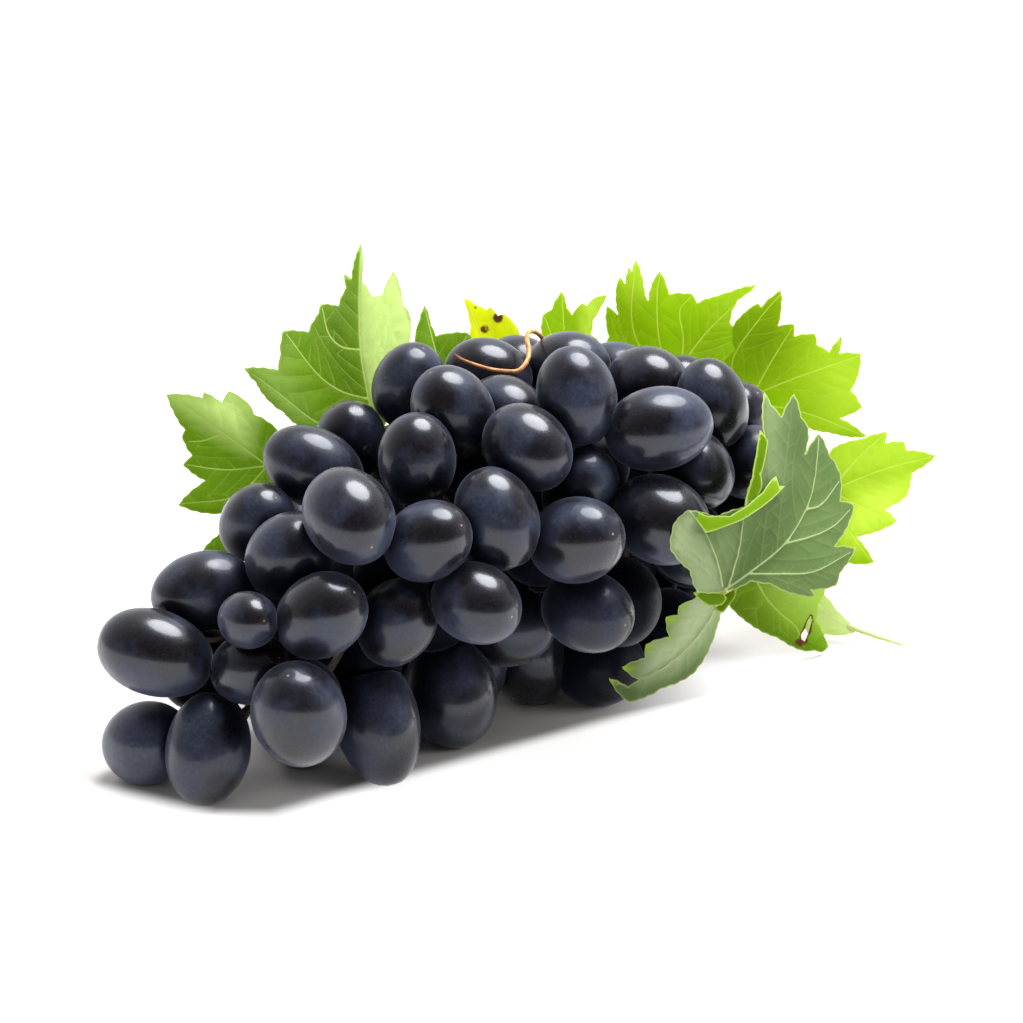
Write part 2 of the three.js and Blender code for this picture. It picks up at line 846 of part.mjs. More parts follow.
const shoot = shootBody(0);
const shootRoom = shootBody(GAP);
const pedicels = allBerries.filter((berry) => outsideBunch(berry.place) > 2).map((berry) => {
  const nearest = spine.reduce((a, b) => (a.distanceTo(berry.place) < b.distanceTo(berry.place) ? a : b));
  const end = berry.place.clone().lerp(nearest, 0.75);
  return limb(new THREE.LineCurve3(berry.place, end), 1, 5, () => 2.2);
});

const tendrilCurve = curveThrough(TENDRIL_SEEN.map(([across, down, depth]) => seenPlace(across, down, depth)));
const tendril = tube(tendrilCurve, TENDRIL_RADIUS);
const tendrilRoom = tube(tendrilCurve, TENDRIL_RADIUS + GAP);

const aboveFloor = new THREE.BoxGeometry(600, 600, 300);
aboveFloor.translate(0, 0, 150 + FLOOR_SINK);
const frontSolids = front.map((berry) => berrySolid(berry, 9, 6));
const farSolids = far.map((berry) => berrySolid(berry, 7, 5));
const bunch = Manifold.union([core, ...frontSolids, ...farSolids, ...pedicels])
  .subtract(shootRoom)
  .subtract(tendrilRoom)
  .intersect(toSolid(aboveFloor));

const GREEN_LEAF = { color: 0x5f8f2e, roughness: 0.6, metalness: 0 };
const GREY_LEAF = { color: 0x6e8667, roughness: 0.7, metalness: 0 };
const YELLOW_LEAF = { color: 0xb9c531, roughness: 0.6, metalness: 0 };
const BERRY_SKIN = { color: 0x1d2133, roughness: 0.35, metalness: 0 };
const WOODY = { color: 0x8a6a3e, roughness: 0.75, metalness: 0 };
const TENDRIL_TAN = { color: 0xb9793a, roughness: 0.6, metalness: 0 };

const group = new THREE.Group();

function addPiece(name, solid, look) {
  const mesh = new THREE.Mesh(toGeometry(solid), new THREE.MeshStandardMaterial(look));
  mesh.name = name;
  mesh.geometry.translate(-CENTRE_X, -CENTRE_Y, -FLOOR_SINK);
  group.add(mesh);
}

addPiece("berries", bunch, BERRY_SKIN);
addPiece("shoot", shoot, WOODY);
addPiece("tendril", tendril, TENDRIL_TAN);
for (const leaf of LEAVES) {
  let look = GREEN_LEAF;
  if (leaf.name === "leaf_front_right") {
    look = GREY_LEAF;
  } else if (leaf.name === "leaf_top_yellow") {
    look = YELLOW_LEAF;
  }
  addPiece(leaf.name, leafSolid(leaf, shootRoom), look);
}

export default group;
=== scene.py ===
import math

import bpy
import numpy as np
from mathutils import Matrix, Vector
from mathutils.geometry import delaunay_2d_cdt


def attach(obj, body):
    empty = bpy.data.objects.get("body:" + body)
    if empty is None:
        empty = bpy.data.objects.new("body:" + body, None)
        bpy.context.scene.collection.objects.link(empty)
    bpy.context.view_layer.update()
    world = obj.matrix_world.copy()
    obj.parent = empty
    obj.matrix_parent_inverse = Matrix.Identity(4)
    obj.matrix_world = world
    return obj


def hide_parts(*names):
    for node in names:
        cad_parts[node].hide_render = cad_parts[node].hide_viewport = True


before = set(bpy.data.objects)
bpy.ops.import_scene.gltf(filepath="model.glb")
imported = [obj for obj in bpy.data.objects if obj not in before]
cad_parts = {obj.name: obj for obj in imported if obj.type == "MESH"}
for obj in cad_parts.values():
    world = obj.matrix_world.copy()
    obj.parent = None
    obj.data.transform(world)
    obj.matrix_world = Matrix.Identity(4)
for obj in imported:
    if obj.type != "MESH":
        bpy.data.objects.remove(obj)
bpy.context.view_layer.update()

# A bunch of blue-black grapes lying on its side, with vine leaves, a shoot and a tendril.
# Places are worked out in millimetres in the view's own frame, then moved to the row frame.

# Berries: width, length to width, how close they press, and the rule that fills the far side
BERRY_WIDTH = 21.0
BERRY_STRETCH = 1.24
BERRY_PRESS = 0.95
BERRY_SIDES = 44
BERRY_ROWS = 28
NEIGHBOUR_REACH = 45
FLOOR_SINK = 0.9
FLOOR_DROP = 9
FAR_FILLING = [(20, 1), (17.5, 1), (17, 0.8)]
FAR_TRIES = 900
FAR_SEED = 1837
FAR_BEHIND = 6
FAR_SMALLEST = 0.92
FAR_SPREAD = 0.1
FAR_LONGER = 0.06
INNER_TRIES = 240
INNER_SEED = 77
INNER_BEHIND = 9
INNER_GAP = 12.5
INNER_WIDE = 9.0
INNER_STRETCH = 1.18
PLUG_LONG = 10.5
SETTLE_ROUNDS = 300
PRESS_ROUNDS = 40
# Berry skins: small lumps, dimples at the tip and at the stalk (depth, breadth), and painted shade: the
# pixels from which the berries low on the right are painted darker, for the shade of the others on them, how
# dark at most, and how dark every inner berry is painted
LUMPS = 4
LUMP_HEIGHT = 0.006
TIP_DIMPLE = (0.02, 0.004)
STALK_DIMPLE = (0.05, 0.02)
DUSK_FROM = np.array([565, 565])
DUSK_OVER = np.array([45, 30])
DUSK_MOST = 0.92
INNER_DUSK = 0.97

# The view that the places are written in
CENTRE = np.array([7.42, 12.58, FLOOR_SINK])
PIXEL = BERRY_WIDTH / 85.7
VIEW_DISTANCE = 900.0
ELEVATION = math.radians(18)
AIM = np.array([0.0, 0.0, 55.6])
FRAME_PIXELS = 1023.0
MIDDLE = FRAME_PIXELS / 2
EYE_PIXELS = VIEW_DISTANCE / PIXEL
RIGHT = np.array([1.0, 0.0, 0.0])
AWAY = np.array([0.0, math.cos(ELEVATION), -math.sin(ELEVATION)])
UPWARD = np.array([0.0, math.sin(ELEVATION), math.cos(ELEVATION)])
EYE = AIM - VIEW_DISTANCE * AWAY

# The berries that face the viewer: across, down, long and wide in pixels, lean, and how far back they sit
FRONT_BERRIES = [
    (208, 748, 116, 86, 80, "floor"), (299, 714, 108, 96, 102, 0), (377, 720, 134, 86, 103, "floor"),
    (147, 743, 92, 84, 20, "floor"), (155, 653, 120, 88, -16, 0), (321, 616, 98, 84, 35, 0),
    (349, 516, 103, 91, -52, 0), (428, 541, 92, 80, 25, 0), (497, 519, 108, 84, 110, 0),
    (576, 540, 98, 88, 10, 0), (476, 603, 94, 82, -20, 0), (452, 692, 116, 92, 95, "floor"),
    (248, 620, 62, 58, 0, 0), (417, 460, 96, 78, 90, 0), (527, 447, 98, 82, -40, 0),
    (577, 396, 104, 80, 101, 0), (658, 429, 112, 84, 12, 0), (660, 520, 104, 88, -28, 0),
    (314, 468, 106, 80, -27, 0), (453, 412, 98, 82, 120, 0), (290, 556, 94, 86, 45, 0),
    (203, 591, 106, 80, 14, 0), (588, 611, 94, 82, -20, 0), (508, 627, 96, 80, 10, 4),
    (397, 622, 94, 78, 58, 4), (257, 523, 84, 74, 50, 0), (409, 386, 88, 74, 68, 0),
    (350, 441, 82, 72, 80, 4), (250, 668, 84, 74, 20, 6), (580, 488, 88, 74, 60, 6),
    (692, 468, 92, 78, -45, 4), (712, 404, 94, 72, 104, 0), (620, 602, 92, 84, 90, 8),
    (506, 413, 86, 74, -30, 4), (647, 383, 82, 74, -10, 0), (489, 375, 92, 74, -18, 0),
    (567, 368, 88, 74, 5, 2), (754, 462, 86, 74, 10, 0), (748, 511, 86, 74, 20, 0),
    (517, 371, 80, 72, 0, 8), (613, 378, 84, 74, 10, 6), (598, 664, 94, 84, 10, "floor"),
    (662, 630, 90, 78, 50, 14),
]
# Inner berries set one by one: across, down, depth
GAP_PLUGS = [(538, 498, 14), (602, 444, 20)]
SPINE = np.array([
    (-84, -56, 19), (-44, -28, 36), (-6, 0, 46), (30, 24, 49), (54, 42, 48), (66, 51, 47),
], float)
SPINE_GIRTH = np.array([8, 27, 37, 36, 25, 6], float)
SPINE_STEPS = 40
RACHIS_FROM = 9
RACHIS_TO = 33
BUNCH_OUTLINE = np.array([
    (97, 640), (150, 580), (225, 500), (275, 440), (325, 405), (375, 360), (420, 346), (460, 338),
    (530, 333), (580, 332), (650, 344), (700, 357), (748, 372), (770, 430), (785, 510), (745, 575),
    (700, 625), (640, 670), (590, 695), (500, 740), (420, 750), (400, 782), (360, 784), (340, 760),
    (300, 762), (250, 755), (235, 800), (200, 806), (165, 780), (120, 784), (100, 740),
], float)

SHOOT_LINE = [
    (44, 35, 48), (60, 47, 47), (76, 60, 44), (79, 74, 40), (62, 89, 34), (30, 94, 29),
    (-8, 82, 26), (-40, 62, 25),
]
SHOOT_RADIUS = 3.3
SHOOT_KNUCKLE = 1.1
SIDE_SHOOT_LINE = [(26, 94, 29), (20, 88, 42), (10, 80, 53), (-4, 72, 60)]
SIDE_SHOOT_RADIUS = 1.9
STALK_RADIUS = 1.15
TENDRIL_RADIUS = 0.75
TENDRIL_SEEN = [
    (455, 355, 4), (463, 360, 1), (476, 365, -1), (490, 369, -2), (504, 371, -2), (517, 371, -2),
    (526, 363, 0), (529, 351, 3), (527, 340, 6), (529, 332, 11), (537, 333, 17), (543, 340, 21),
    (545, 352, 22), (545, 366, 22), (544, 380, 22),
]

# Leaf blades in millimetres: mesh steps, widths of veins from root to tip, half the thickness at the edge
# and what is added to it further in
EDGE_STEP = 0.55
TOOTHED_RUN = 4
TOOTH_PITCH = 2.6
TOOTH_HEIGHT = 0.10
VEIN_STEP = 0.9
BLADE_STEP = 0.95
MAIN_VEIN = (0.30, 0.13)
SIDE_VEIN = (0.16, 0.10)
SIDE_VEIN_PITCH = 4.6
BLADE_EDGE_HALF = 0.09
BLADE_MORE_HALF = 0.14
FAR_OFF = 9

# The leaves as seen: "face" is 1 where the upper face shows and -1 where the underside does. A sheet has an
# outline round a hub, its depth and bends, main and faint veins, spotted places, and painted light and
# shade:
# pale places painted lighter for both the blade's paler tone and light through it, dim places painted shade,
# and glowing places painted light through the blade.
LEAVES = [
    dict(
        name="leaf_left", slot="leaf_green", look="green", face=1, joins=0.985,
        stalk=[(270, 482), (300, 470, 26), (340, 480, 44)],
        sheets=[dict(
            hub=(262, 482), depth=21, lean=(-0.05, 0.05), bow=0.25, fold=(143, -0.25), ripple=(1.2, 5),
            edge=[
                (167, 394), (203, 398), (204, 392), (222, 403), (229, 391), (243, 399), (250, 405),
                (254, 414), (274, 426), (281, 436), (300, 446), (322, 448), (312, 470), (334, 488),
                (312, 508), (320, 534), (290, 530), (272, 556), (252, 540), (228, 558), (202, 551),
                (222, 532), (236, 516), (223, 513), (210, 514), (178, 505), (205, 481), (183, 465),
                (192, 456), (182, 437), (185, 430), (174, 413),
            ],
            veins=[
                [(268, 466), (222, 433), (169, 396)], [(266, 466), (225, 470), (187, 465)],
                [(266, 468), (236, 496), (182, 504)], [(220, 435), (203, 441), (185, 442)],
            ],
            faint=[
                [(266, 470), (240, 520), (206, 549)], [(266, 462), (250, 425), (231, 394)],
                [(268, 466), (296, 458), (320, 449)], [(268, 470), (300, 484), (331, 488)],
                [(268, 472), (296, 506), (318, 532)], [(267, 473), (271, 512), (272, 553)],
            ],
            pale=[([(165, 392), (203, 396), (230, 388), (252, 408), (246, 446), (222, 433)], 1, 4)],
        )],
    ),
    dict(
        name="leaf_upper_left", slot="leaf_green", look="green", face=1, joins=0.86,
        stalk=[(368, 405), (382, 430, 48), (400, 470, 68)],
        sheets=[dict(
            hub=(362, 380), depth=31, lean=(0.1, 0.25), bow=0.2, fold=(93, -0.35), ripple=(1.2, 4),
            edge=[
                (361, 243), (362, 281), (372, 297), (382, 296), (394, 271), (403, 305), (409, 312),
                (411, 331), (408, 346), (416, 368), (402, 386), (404, 408), (388, 416), (378, 436),
                (360, 428), (340, 446), (322, 430), (298, 426), (284, 413), (265, 397), (256, 383),
                (244, 368), (278, 370), (280, 356), (283, 331), (308, 332), (318, 314), (321, 304),
                (338, 306), (346, 288), (344, 274), (351, 279),
            ],
            veins=[
                [(370, 406), (361, 356), (359, 300), (361, 248)],
                [(367, 399), (340, 391), (318, 375), (286, 334)],
                [(360, 350), (341, 347), (329, 335), (322, 308)],
                [(366, 430), (340, 431), (314, 421), (278, 393), (252, 374)],
            ],
            faint=[
                [(370, 404), (386, 350), (394, 276)], [(372, 406), (396, 372), (407, 340)],
                [(371, 410), (382, 420), (379, 433)], [(369, 410), (350, 428), (341, 443)],
            ],
            pale=[
                ([
                    (361, 243), (394, 268), (414, 331), (410, 370), (390, 412), (371, 406), (360, 350),
                    (359, 300),
                ], 0.95, 0.5),
                ([(244, 368), (280, 350), (300, 400), (300, 430), (262, 398)], 0.3, 5),
            ],
            dim=[
                ([
                    (318, 316), (346, 288), (358, 280), (358, 345), (367, 400), (338, 398), (320, 350),
                ], 0.6, 5),
            ],
        )],
    ),
    dict(
        name="leaf_top_left", slot="leaf_green", look="green", face=1, side=True, joins=0.97,
        stalk=[(446, 385), (458, 404, 48), (474, 420, 56)],
        sheets=[dict(
            hub=(443, 366), depth=37, lean=(0.0, 0.2), bow=0.3, fold=(105, -0.2), ripple=(0.8, 4),
            edge=[
                (425, 305), (431, 325), (436, 336), (450, 333), (468, 333), (474, 342), (482, 362),
                (472, 378), (476, 398), (456, 396), (444, 412), (430, 398), (414, 402), (416, 384),
                (406, 366), (415, 352), (415, 336), (419, 321),
            ],
            veins=[
                [(446, 386), (434, 345), (425, 309)], [(446, 385), (456, 355), (467, 336)],
                [(446, 386), (464, 370), (480, 362)], [(446, 387), (445, 409)], [(446, 386), (474, 396)],
                [(445, 386), (417, 400)], [(445, 385), (422, 372), (409, 366)],
            ],
        )],
    ),
    dict(
        name="leaf_top_yellow", slot="leaf_yellow", look="yellow", face=1, side=True, joins=0.72,
        stalk=[(495, 380), (506, 398, 58), (520, 410, 64)],
        sheets=[dict(
            hub=(494, 355), depth=46, lean=(0.05, 0.15), bow=0.3, fold=(110, -0.2), ripple=(0.8, 4),
            edge=[
                (464, 298), (476, 305), (487, 310), (490, 307), (498, 316), (504, 314), (513, 322),
                (520, 334), (523, 350), (514, 364), (518, 382), (500, 384), (488, 402), (478, 386),
                (460, 384), (466, 366), (456, 350), (470, 340), (471, 326), (468, 312),
            ],
            veins=[
                [(495, 379), (480, 335), (466, 301)], [(495, 379), (493, 340), (490, 311)],
                [(495, 379), (505, 345), (511, 324)], [(495, 380), (510, 365), (521, 350)],
                [(494, 380), (472, 360), (459, 350)], [(494, 381), (489, 399)], [(494, 381), (463, 383)],
            ],
            spots=[(498, 318, 5, 5, 1), (485, 329, 5, 4, 1), (476, 308, 3, 3, 0.6), (508, 340, 3, 4, 0.5)],
        )],
    ),
    dict(
        name="leaf_top", slot="leaf_bright", look="bright", face=1, side=True, joins=0.42,
        stalk=[(566, 380), (573, 402, 68), (575, 420, 74)],
        sheets=[dict(
            hub=(569, 350), depth=61, lean=(0.0, 0.15), bow=0.3, fold=(95, -0.25), ripple=(0.9, 4),
            edge=[
                (562, 291), (567, 308), (572, 315), (582, 303), (587, 306), (594, 298), (607, 295),
                (601, 307), (593, 320), (591, 334), (604, 348), (594, 366), (602, 388), (578, 386),
                (566, 402), (556, 384), (542, 380), (548, 364), (542, 350), (541, 334), (543, 315),
                (551, 310),
            ],
            veins=[
                [(566, 380), (564, 330), (562, 296)], [(567, 380), (584, 335), (603, 299)],
                [(565, 380), (553, 340), (545, 318)], [(567, 381), (588, 362), (601, 350)],
                [(566, 382), (566, 399)], [(567, 382), (599, 387)], [(565, 381), (545, 379)],
            ],
            pale=[([(583, 300), (608, 292), (604, 312), (592, 350), (578, 350)], 0.85, 2)],
        )],
    ),
    dict(
        name="leaf_back", slot="leaf_bright", look="bright", face=1, joins=0.47,
        stalk=[(668, 380), (672, 410, 74), (676, 450, 84)],
        sheets=[dict(
            hub=(672, 352), depth=67, lean=(0.0, 0.1), bow=0.25, fold=(40, -0.15), ripple=(1.5, 5),
            edge=[
                (609, 337), (606, 324), (607, 306), (618, 315), (616, 288), (620, 277), (625, 284),
                (629, 267), (632, 272), (636, 259), (645, 295), (648, 301), (653, 281), (660, 271),
                (669, 294), (692, 294), (697, 303), (717, 296), (729, 292), (757, 285), (738, 300),
                (732, 311), (730, 322), (742, 345), (730, 362), (742, 392), (708, 388), (698, 416),
                (672, 396), (652, 418), (640, 392), (612, 396), (622, 370), (602, 356),
            ],
            veins=[
                [(674, 376), (706, 333), (726, 313), (753, 288)],
                [(682, 364), (683, 337), (680, 310), (691, 297)],
                [(673, 376), (660, 344), (657, 295), (660, 275)],
                [(672, 376), (642, 350), (632, 322), (635, 264)],
            ],
            faint=[
                [(672, 376), (630, 348), (618, 316), (619, 283)], [(671, 376), (625, 350), (609, 312)],
                [(706, 333), (709, 315), (706, 302)], [(674, 378), (712, 366), (736, 350)],
                [(674, 379), (712, 388), (738, 391)], [(674, 380), (690, 405), (697, 413)],
                [(672, 380), (658, 402), (653, 415)], [(671, 379), (640, 388), (615, 395)],
                [(671, 378), (634, 366), (606, 357)],
            ],
            dim=[
                ([(606, 300), (634, 300), (644, 350), (610, 360)], 0.35, 6),
                ([(684, 340), (706, 336), (724, 316), (742, 345), (720, 370), (680, 372)], 0.3, 5),
            ],
            pale=[
                ([(622, 256), (640, 256), (648, 290), (630, 300)], 0.5, 4),
                ([(716, 296), (758, 284), (734, 312), (716, 320)], 0.3, 4),
            ],
        )],
    ),
    dict(
        name="leaf_back_right", slot="leaf_bright", look="bright", face=1, joins=0.38,
        stalk=[(752, 400), (762, 430, 66), (770, 462, 74)],
        sheets=[dict(
            hub=(776, 384), depth=60, lean=(0.25, -0.15), bow=0.3, fold=(20, -0.2), ripple=(1.5, 5),
            edge=[
                (732, 327), (745, 312), (758, 303), (761, 307), (781, 290), (781, 311), (778, 326),
                (794, 324), (794, 336), (815, 334), (817, 345), (829, 352), (842, 336), (839, 353),
                (861, 354), (857, 378), (851, 390), (862, 408), (840, 418), (867, 437), (830, 433),
                (803, 426), (775, 420), (757, 415), (757, 428), (745, 426), (744, 412), (724, 402),
                (734, 388), (720, 366), (734, 350),
            ],
            veins=[
                [(740, 401), (790, 380), (847, 360), (858, 356)],
                [(742, 398), (732, 363), (760, 318), (780, 295)], [(753, 394), (772, 360), (792, 328)],
                [(742, 402), (802, 412), (862, 435)],
            ],
            faint=[
                [(766, 389), (806, 356), (838, 340)], [(770, 388), (810, 392), (858, 407)],
                [(745, 397), (742, 350), (734, 330)], [(740, 401), (728, 402)], [(738, 399), (723, 368)],
            ],
            dim=[([(730, 328), (782, 292), (796, 340), (776, 372), (740, 372)], 0.55, 7)],
            pale=[([(812, 352), (868, 348), (872, 442), (826, 438), (816, 398)], 0.45, 8)],
        )],
    ),
    dict(
        name="leaf_right", slot="leaf_bright", look="bright", face=1, joins=0.31,
        stalk=[(840, 500), (826, 500, 66), (816, 494, 72)],
        sheets=[dict(
            hub=(852, 500), depth=62, lean=(0.1, 0.15), bow=0.3, fold=(15, -0.15), ripple=(1.4, 5),
            edge=[
                (834, 447), (862, 439), (887, 432), (885, 443), (904, 442), (906, 450), (936, 456),
                (912, 473), (911, 480), (906, 497), (885, 509), (897, 522), (857, 537), (874, 563),
                (852, 564), (836, 556), (826, 570), (822, 546), (812, 534), (822, 516), (816, 498),
                (824, 486), (822, 468),
            ],
            veins=[
                [(832, 490), (882, 470), (931, 457)], [(832, 489), (858, 458), (884, 435)],
                [(832, 492), (866, 510), (893, 521)], [(832, 493), (848, 530), (870, 560)],
            ],
            faint=[
                [(831, 489), (836, 465), (838, 449)], [(850, 482), (880, 490), (903, 496)],
                [(831, 493), (828, 535), (827, 566)],
            ],
            pale=[
                ([(828, 440), (892, 428), (940, 452), (912, 478), (860, 486), (832, 480)], 0.5, 5),
                ([(830, 530), (856, 484), (914, 474), (904, 526), (850, 548)], 0.95, 5),
            ],
        )],
    ),
    dict(
        name="leaf_front_right", slot="leaf_grey", look="grey", face=-1, joins=0.2,
        stalk=[(724, 591), (762, 568, -12), (800, 540, 20), (814, 510, 52)],
        sheets=[dict(
            hub=(762, 540), depth=-22, lean=(0.45, 0.12), bow=0.3, fold=(50, -0.25), ripple=(1.2, 5),
            edge=[
                (724, 592), (697, 592), (690, 571), (670, 549), (674, 523), (688, 510), (716, 517),
                (745, 507), (752, 478), (764, 437), (764, 392), (771, 405), (781, 417), (794, 394),
                (801, 417), (809, 429), (805, 454), (819, 433), (829, 454), (841, 476), (840, 501),
                (854, 504), (851, 519), (835, 546), (856, 548), (840, 573), (836, 586), (811, 590),
                (816, 597), (796, 595), (770, 584), (752, 581),
            ],
            veins=[
                [(726, 589), (749, 573), (784, 544), (805, 510), (812, 488), (818, 438)],
                [(749, 574), (778, 574), (812, 572), (849, 553)],
                [(728, 587), (739, 545), (742, 521), (745, 511)],
                [(722, 586), (716, 560), (704, 532), (690, 512)],
                [(784, 544), (808, 538), (832, 527), (849, 510)], [(805, 510), (819, 506), (838, 482)],
            ],
            faint=[
                [(776, 552), (784, 470), (793, 398)], [(760, 565), (768, 480), (766, 398)],
                [(722, 588), (700, 566), (674, 548)], [(760, 573), (790, 584), (812, 595)],
                [(832, 527), (846, 535)], [(812, 572), (828, 580)],
            ],
            pale=[
                ([
                    (672, 523), (688, 508), (695, 519), (708, 543), (718, 567), (723, 591), (697, 593),
                    (689, 571), (668, 549),
                ], 0.45, 0.8),
                ([(712, 535), (742, 521), (736, 560), (727, 585)], 0.18, 3),
                ([(764, 437), (764, 392), (781, 417), (784, 470), (770, 500)], 0.22, 4),
            ],
            dim=[
                ([
                    (730, 582), (744, 540), (762, 512), (790, 480), (802, 500), (780, 540), (752, 568),
                ], 0.5, 5),
                ([(782, 420), (794, 394), (806, 430), (800, 460), (788, 470)], 0.45, 3),
            ],
            spots=[(678, 552, 5, 5, 0.45), (686, 561, 4, 6, 0.4)],
            curl=[
                ([(690, 511), (716, 517), (744, 508)], 1.2, 2.4),
                ([(672, 548), (676, 526), (688, 512)], 2.0, 2.6),
                ([(746, 506), (752, 478), (764, 437), (765, 398)], 0.8, 2.0),
            ],
            pucker=0.1,
        ), dict(
            hub=(692, 640), depth=-13, lean=(-0.25, -0.9), bow=0.25, fold=(50, 0.2), ripple=(0.8, 5),
            edge=[
                (726, 586), (722, 604), (716, 630), (712, 643), (693, 674), (662, 688), (640, 699),
                (630, 702), (622, 697), (609, 678), (628, 687), (639, 680), (622, 667), (645, 658),
                (646, 644), (669, 637), (666, 617), (678, 615), (679, 606), (692, 600), (710, 590),
            ],
            veins=[[(722, 594), (710, 618), (684, 650), (650, 674), (616, 684)]],
            faint=[
                [(712, 610), (690, 618), (670, 619)], [(690, 644), (668, 648), (650, 650)],
                [(704, 626), (704, 648), (696, 668)], [(682, 652), (672, 672), (662, 685)],
            ],
            pale=[
                ([
                    (686, 596), (726, 586), (722, 606), (704, 640), (672, 668), (640, 680), (650, 640),
                    (670, 634),
                ], 0.95, 3),
            ],
            glow=[
                (670, 618, 7, 6, 0.8), (680, 607, 6, 5, 0.7), (648, 646, 6, 5, 0.8), (626, 668, 8, 4, 0.8),
                (668, 636, 5, 4, 0.6), (612, 681, 6, 4, 0.5),
            ],
            pucker=0.1,
        ), dict(
            hub=(762, 540), depth=-23.3, lean=(0.45, 0.12), bow=0.3, fold=(50, -0.25), ripple=(1.2, 5),
            edge=[
                (744, 507), (752, 478), (756, 455), (760, 430), (768, 441), (765, 460), (761, 475),
                (762, 487), (756, 499),
            ],
            veins=[],
            skins=(3, 1), facing=1,
        ), dict(
            hub=(762, 540), depth=-24.0, lean=(0.45, 0.12), bow=0.3, fold=(50, -0.25), ripple=(1.2, 5),
            edge=[
                (689, 510), (708, 516), (730, 516), (747, 506), (763, 492), (772, 479), (776, 476),
                (779, 486), (785, 486), (771, 500), (755, 512), (742, 520), (724, 527), (706, 533),
                (700, 525), (694, 517),
            ],
            veins=[],
            skins=(4, 1), facing=1,
        ), dict(
            hub=(726, 600), depth=-21.5, lean=(0, 0), bow=0.1, fold=(10, -0.05), ripple=(0.2, 3),
            edge=[(716, 591), (727, 588), (737, 587), (735, 598), (730, 604), (723, 613), (715, 610)],
            veins=[],
            skins=(3, 1), facing=1,
        ), dict(
            hub=(712, 598), depth=-24.5, lean=(0.2, -0.3), bow=0.3, fold=(10, -0.1), ripple=(0.2, 3),
            edge=[
                (693, 593), (703, 590), (713, 592), (723, 593), (727, 598), (722, 605), (709, 606),
                (700, 600),
            ],
            veins=[],
            skins=(3, 1), facing=1,
        )],
    ),
    dict(
        name="leaf_low_right", slot="leaf_green", look="lit", face=1, joins=0.25,
        stalk=[(790, 590), (800, 560, 46), (800, 520, 56)],
        sheets=[dict(
            hub=(780, 612), depth=47, lean=(0.5, -0.9), bow=0.2, fold=(140, -0.15), ripple=(0.8, 4),
            edge=[
                (724, 598), (744, 620), (778, 638), (804, 651), (814, 650), (822, 652), (828, 647),
                (824, 636), (816, 620), (818, 604), (826, 588), (808, 578), (800, 560), (780, 570),
                (762, 556), (752, 574), (730, 576),
            ],
            veins=[[(757, 582), (767, 599), (780, 613), (796, 627), (804, 647)]],
            faint=[
                [(758, 586), (742, 592), (728, 597)], [(766, 598), (756, 610), (747, 619)],
                [(780, 613), (780, 625), (779, 635)], [(766, 596), (790, 606), (812, 612), (824, 645)],
                [(760, 586), (790, 590), (823, 588)], [(757, 582), (760, 570), (763, 560)],
            ],
            spots=[(800, 642, 7, 5, 0.75)],
            holes=[
                [
                    (811, 615), (812, 621), (809, 632), (805, 642), (801, 639), (801, 634), (805, 628),
                    (807, 621),
                ],
            ],
            pale=[([(780, 560), (840, 560), (840, 612), (814, 620), (790, 612), (772, 592)], 0.75, 5)],
            dim=[([(724, 596), (752, 606), (790, 640), (806, 654), (770, 640), (740, 622)], 0.5, 4)],
        )],
    ),
    dict(
        name="leaf_floor", slot="leaf_bright", look="pale", face=1, joins=None,
        stalk=[(848, 626), (872, 635, 68), (902, 645, 64.5)],
        sheets=[dict(
            hub=(826, 614), depth=69, lean=(0.0, 0.0), bow=0.15, fold=(140, 0.1), ripple=(0.6, 4),
            edge=[
                (858, 631), (846, 620), (836, 610), (826, 596), (812, 590), (802, 596), (790, 592),
                (796, 608), (788, 620), (804, 626), (812, 638), (826, 634), (842, 635),
            ],
            veins=[
                [(854, 630), (824, 614), (793, 595)], [(840, 622), (826, 609), (813, 593)],
                [(836, 620), (812, 618), (792, 619)], [(848, 627), (832, 630), (814, 635)],
            ],
        )],
    ),
]


# Places in the view

def seen_place(across, down, depth):
    """Places in millimetres of points seen at some pixels and depths."""
    across = np.asarray(across, float)[..., None]
    down = np.asarray(down, float)[..., None]
    sight = AWAY + RIGHT * ((across - MIDDLE) / EYE_PIXELS) + UPWARD * ((MIDDLE - down) / EYE_PIXELS)
    return EYE + sight * (VIEW_DISTANCE + np.asarray(depth, float)[..., None])


def seen_pixel(place):
    rel = place - EYE
    far = rel @ AWAY
    across = MIDDLE + EYE_PIXELS * (rel @ RIGHT) / far
    down = MIDDLE - EYE_PIXELS * (rel @ UPWARD) / far
    return np.stack([across, down], -1)


def inside(points, outline):
    """Which points lie inside a closed outline."""
    a = outline
    b = np.roll(outline, 1, axis=0)
    x = points[:, 0:1]
    y = points[:, 1:2]
    crosses = (a[:, 1] > y) != (b[:, 1] > y)
    rise = np.where(a[:, 1] == b[:, 1], 1.0, b[:, 1] - a[:, 1])
    hit = x < (b[:, 0] - a[:, 0]) * (y - a[:, 1]) / rise + a[:, 0]
    return np.sum(crosses & hit, axis=1) % 2 == 1


def to_row(points):
    """Working millimetres as metres in the row frame."""
    return (np.asarray(points) - CENTRE) / 1000.0


def ridge(values, share):
    """A smooth curve through rows of values, at a share of its run."""
    last = len(values) - 1
    along = min(max(share, 0.0), 1.0) * last
    i = min(int(math.floor(along)), last - 1)
    t = along - i
    a, b, c, d = values[max(i - 1, 0)], values[i], values[i + 1], values[min(i + 2, last)]
    bend = (2 * a - 5 * b + 4 * c - d) * t * t + (3 * b - a - 3 * c + d) * t * t * t
    return 0.5 * (2 * b + (c - a) * t + bend)


# The berries, by the same rule as the solid model

spine = np.array([ridge(SPINE, k / SPINE_STEPS) for k in range(SPINE_STEPS + 1)])
girth = np.array([ridge(SPINE_GIRTH, k / SPINE_STEPS) for k in range(SPINE_STEPS + 1)])


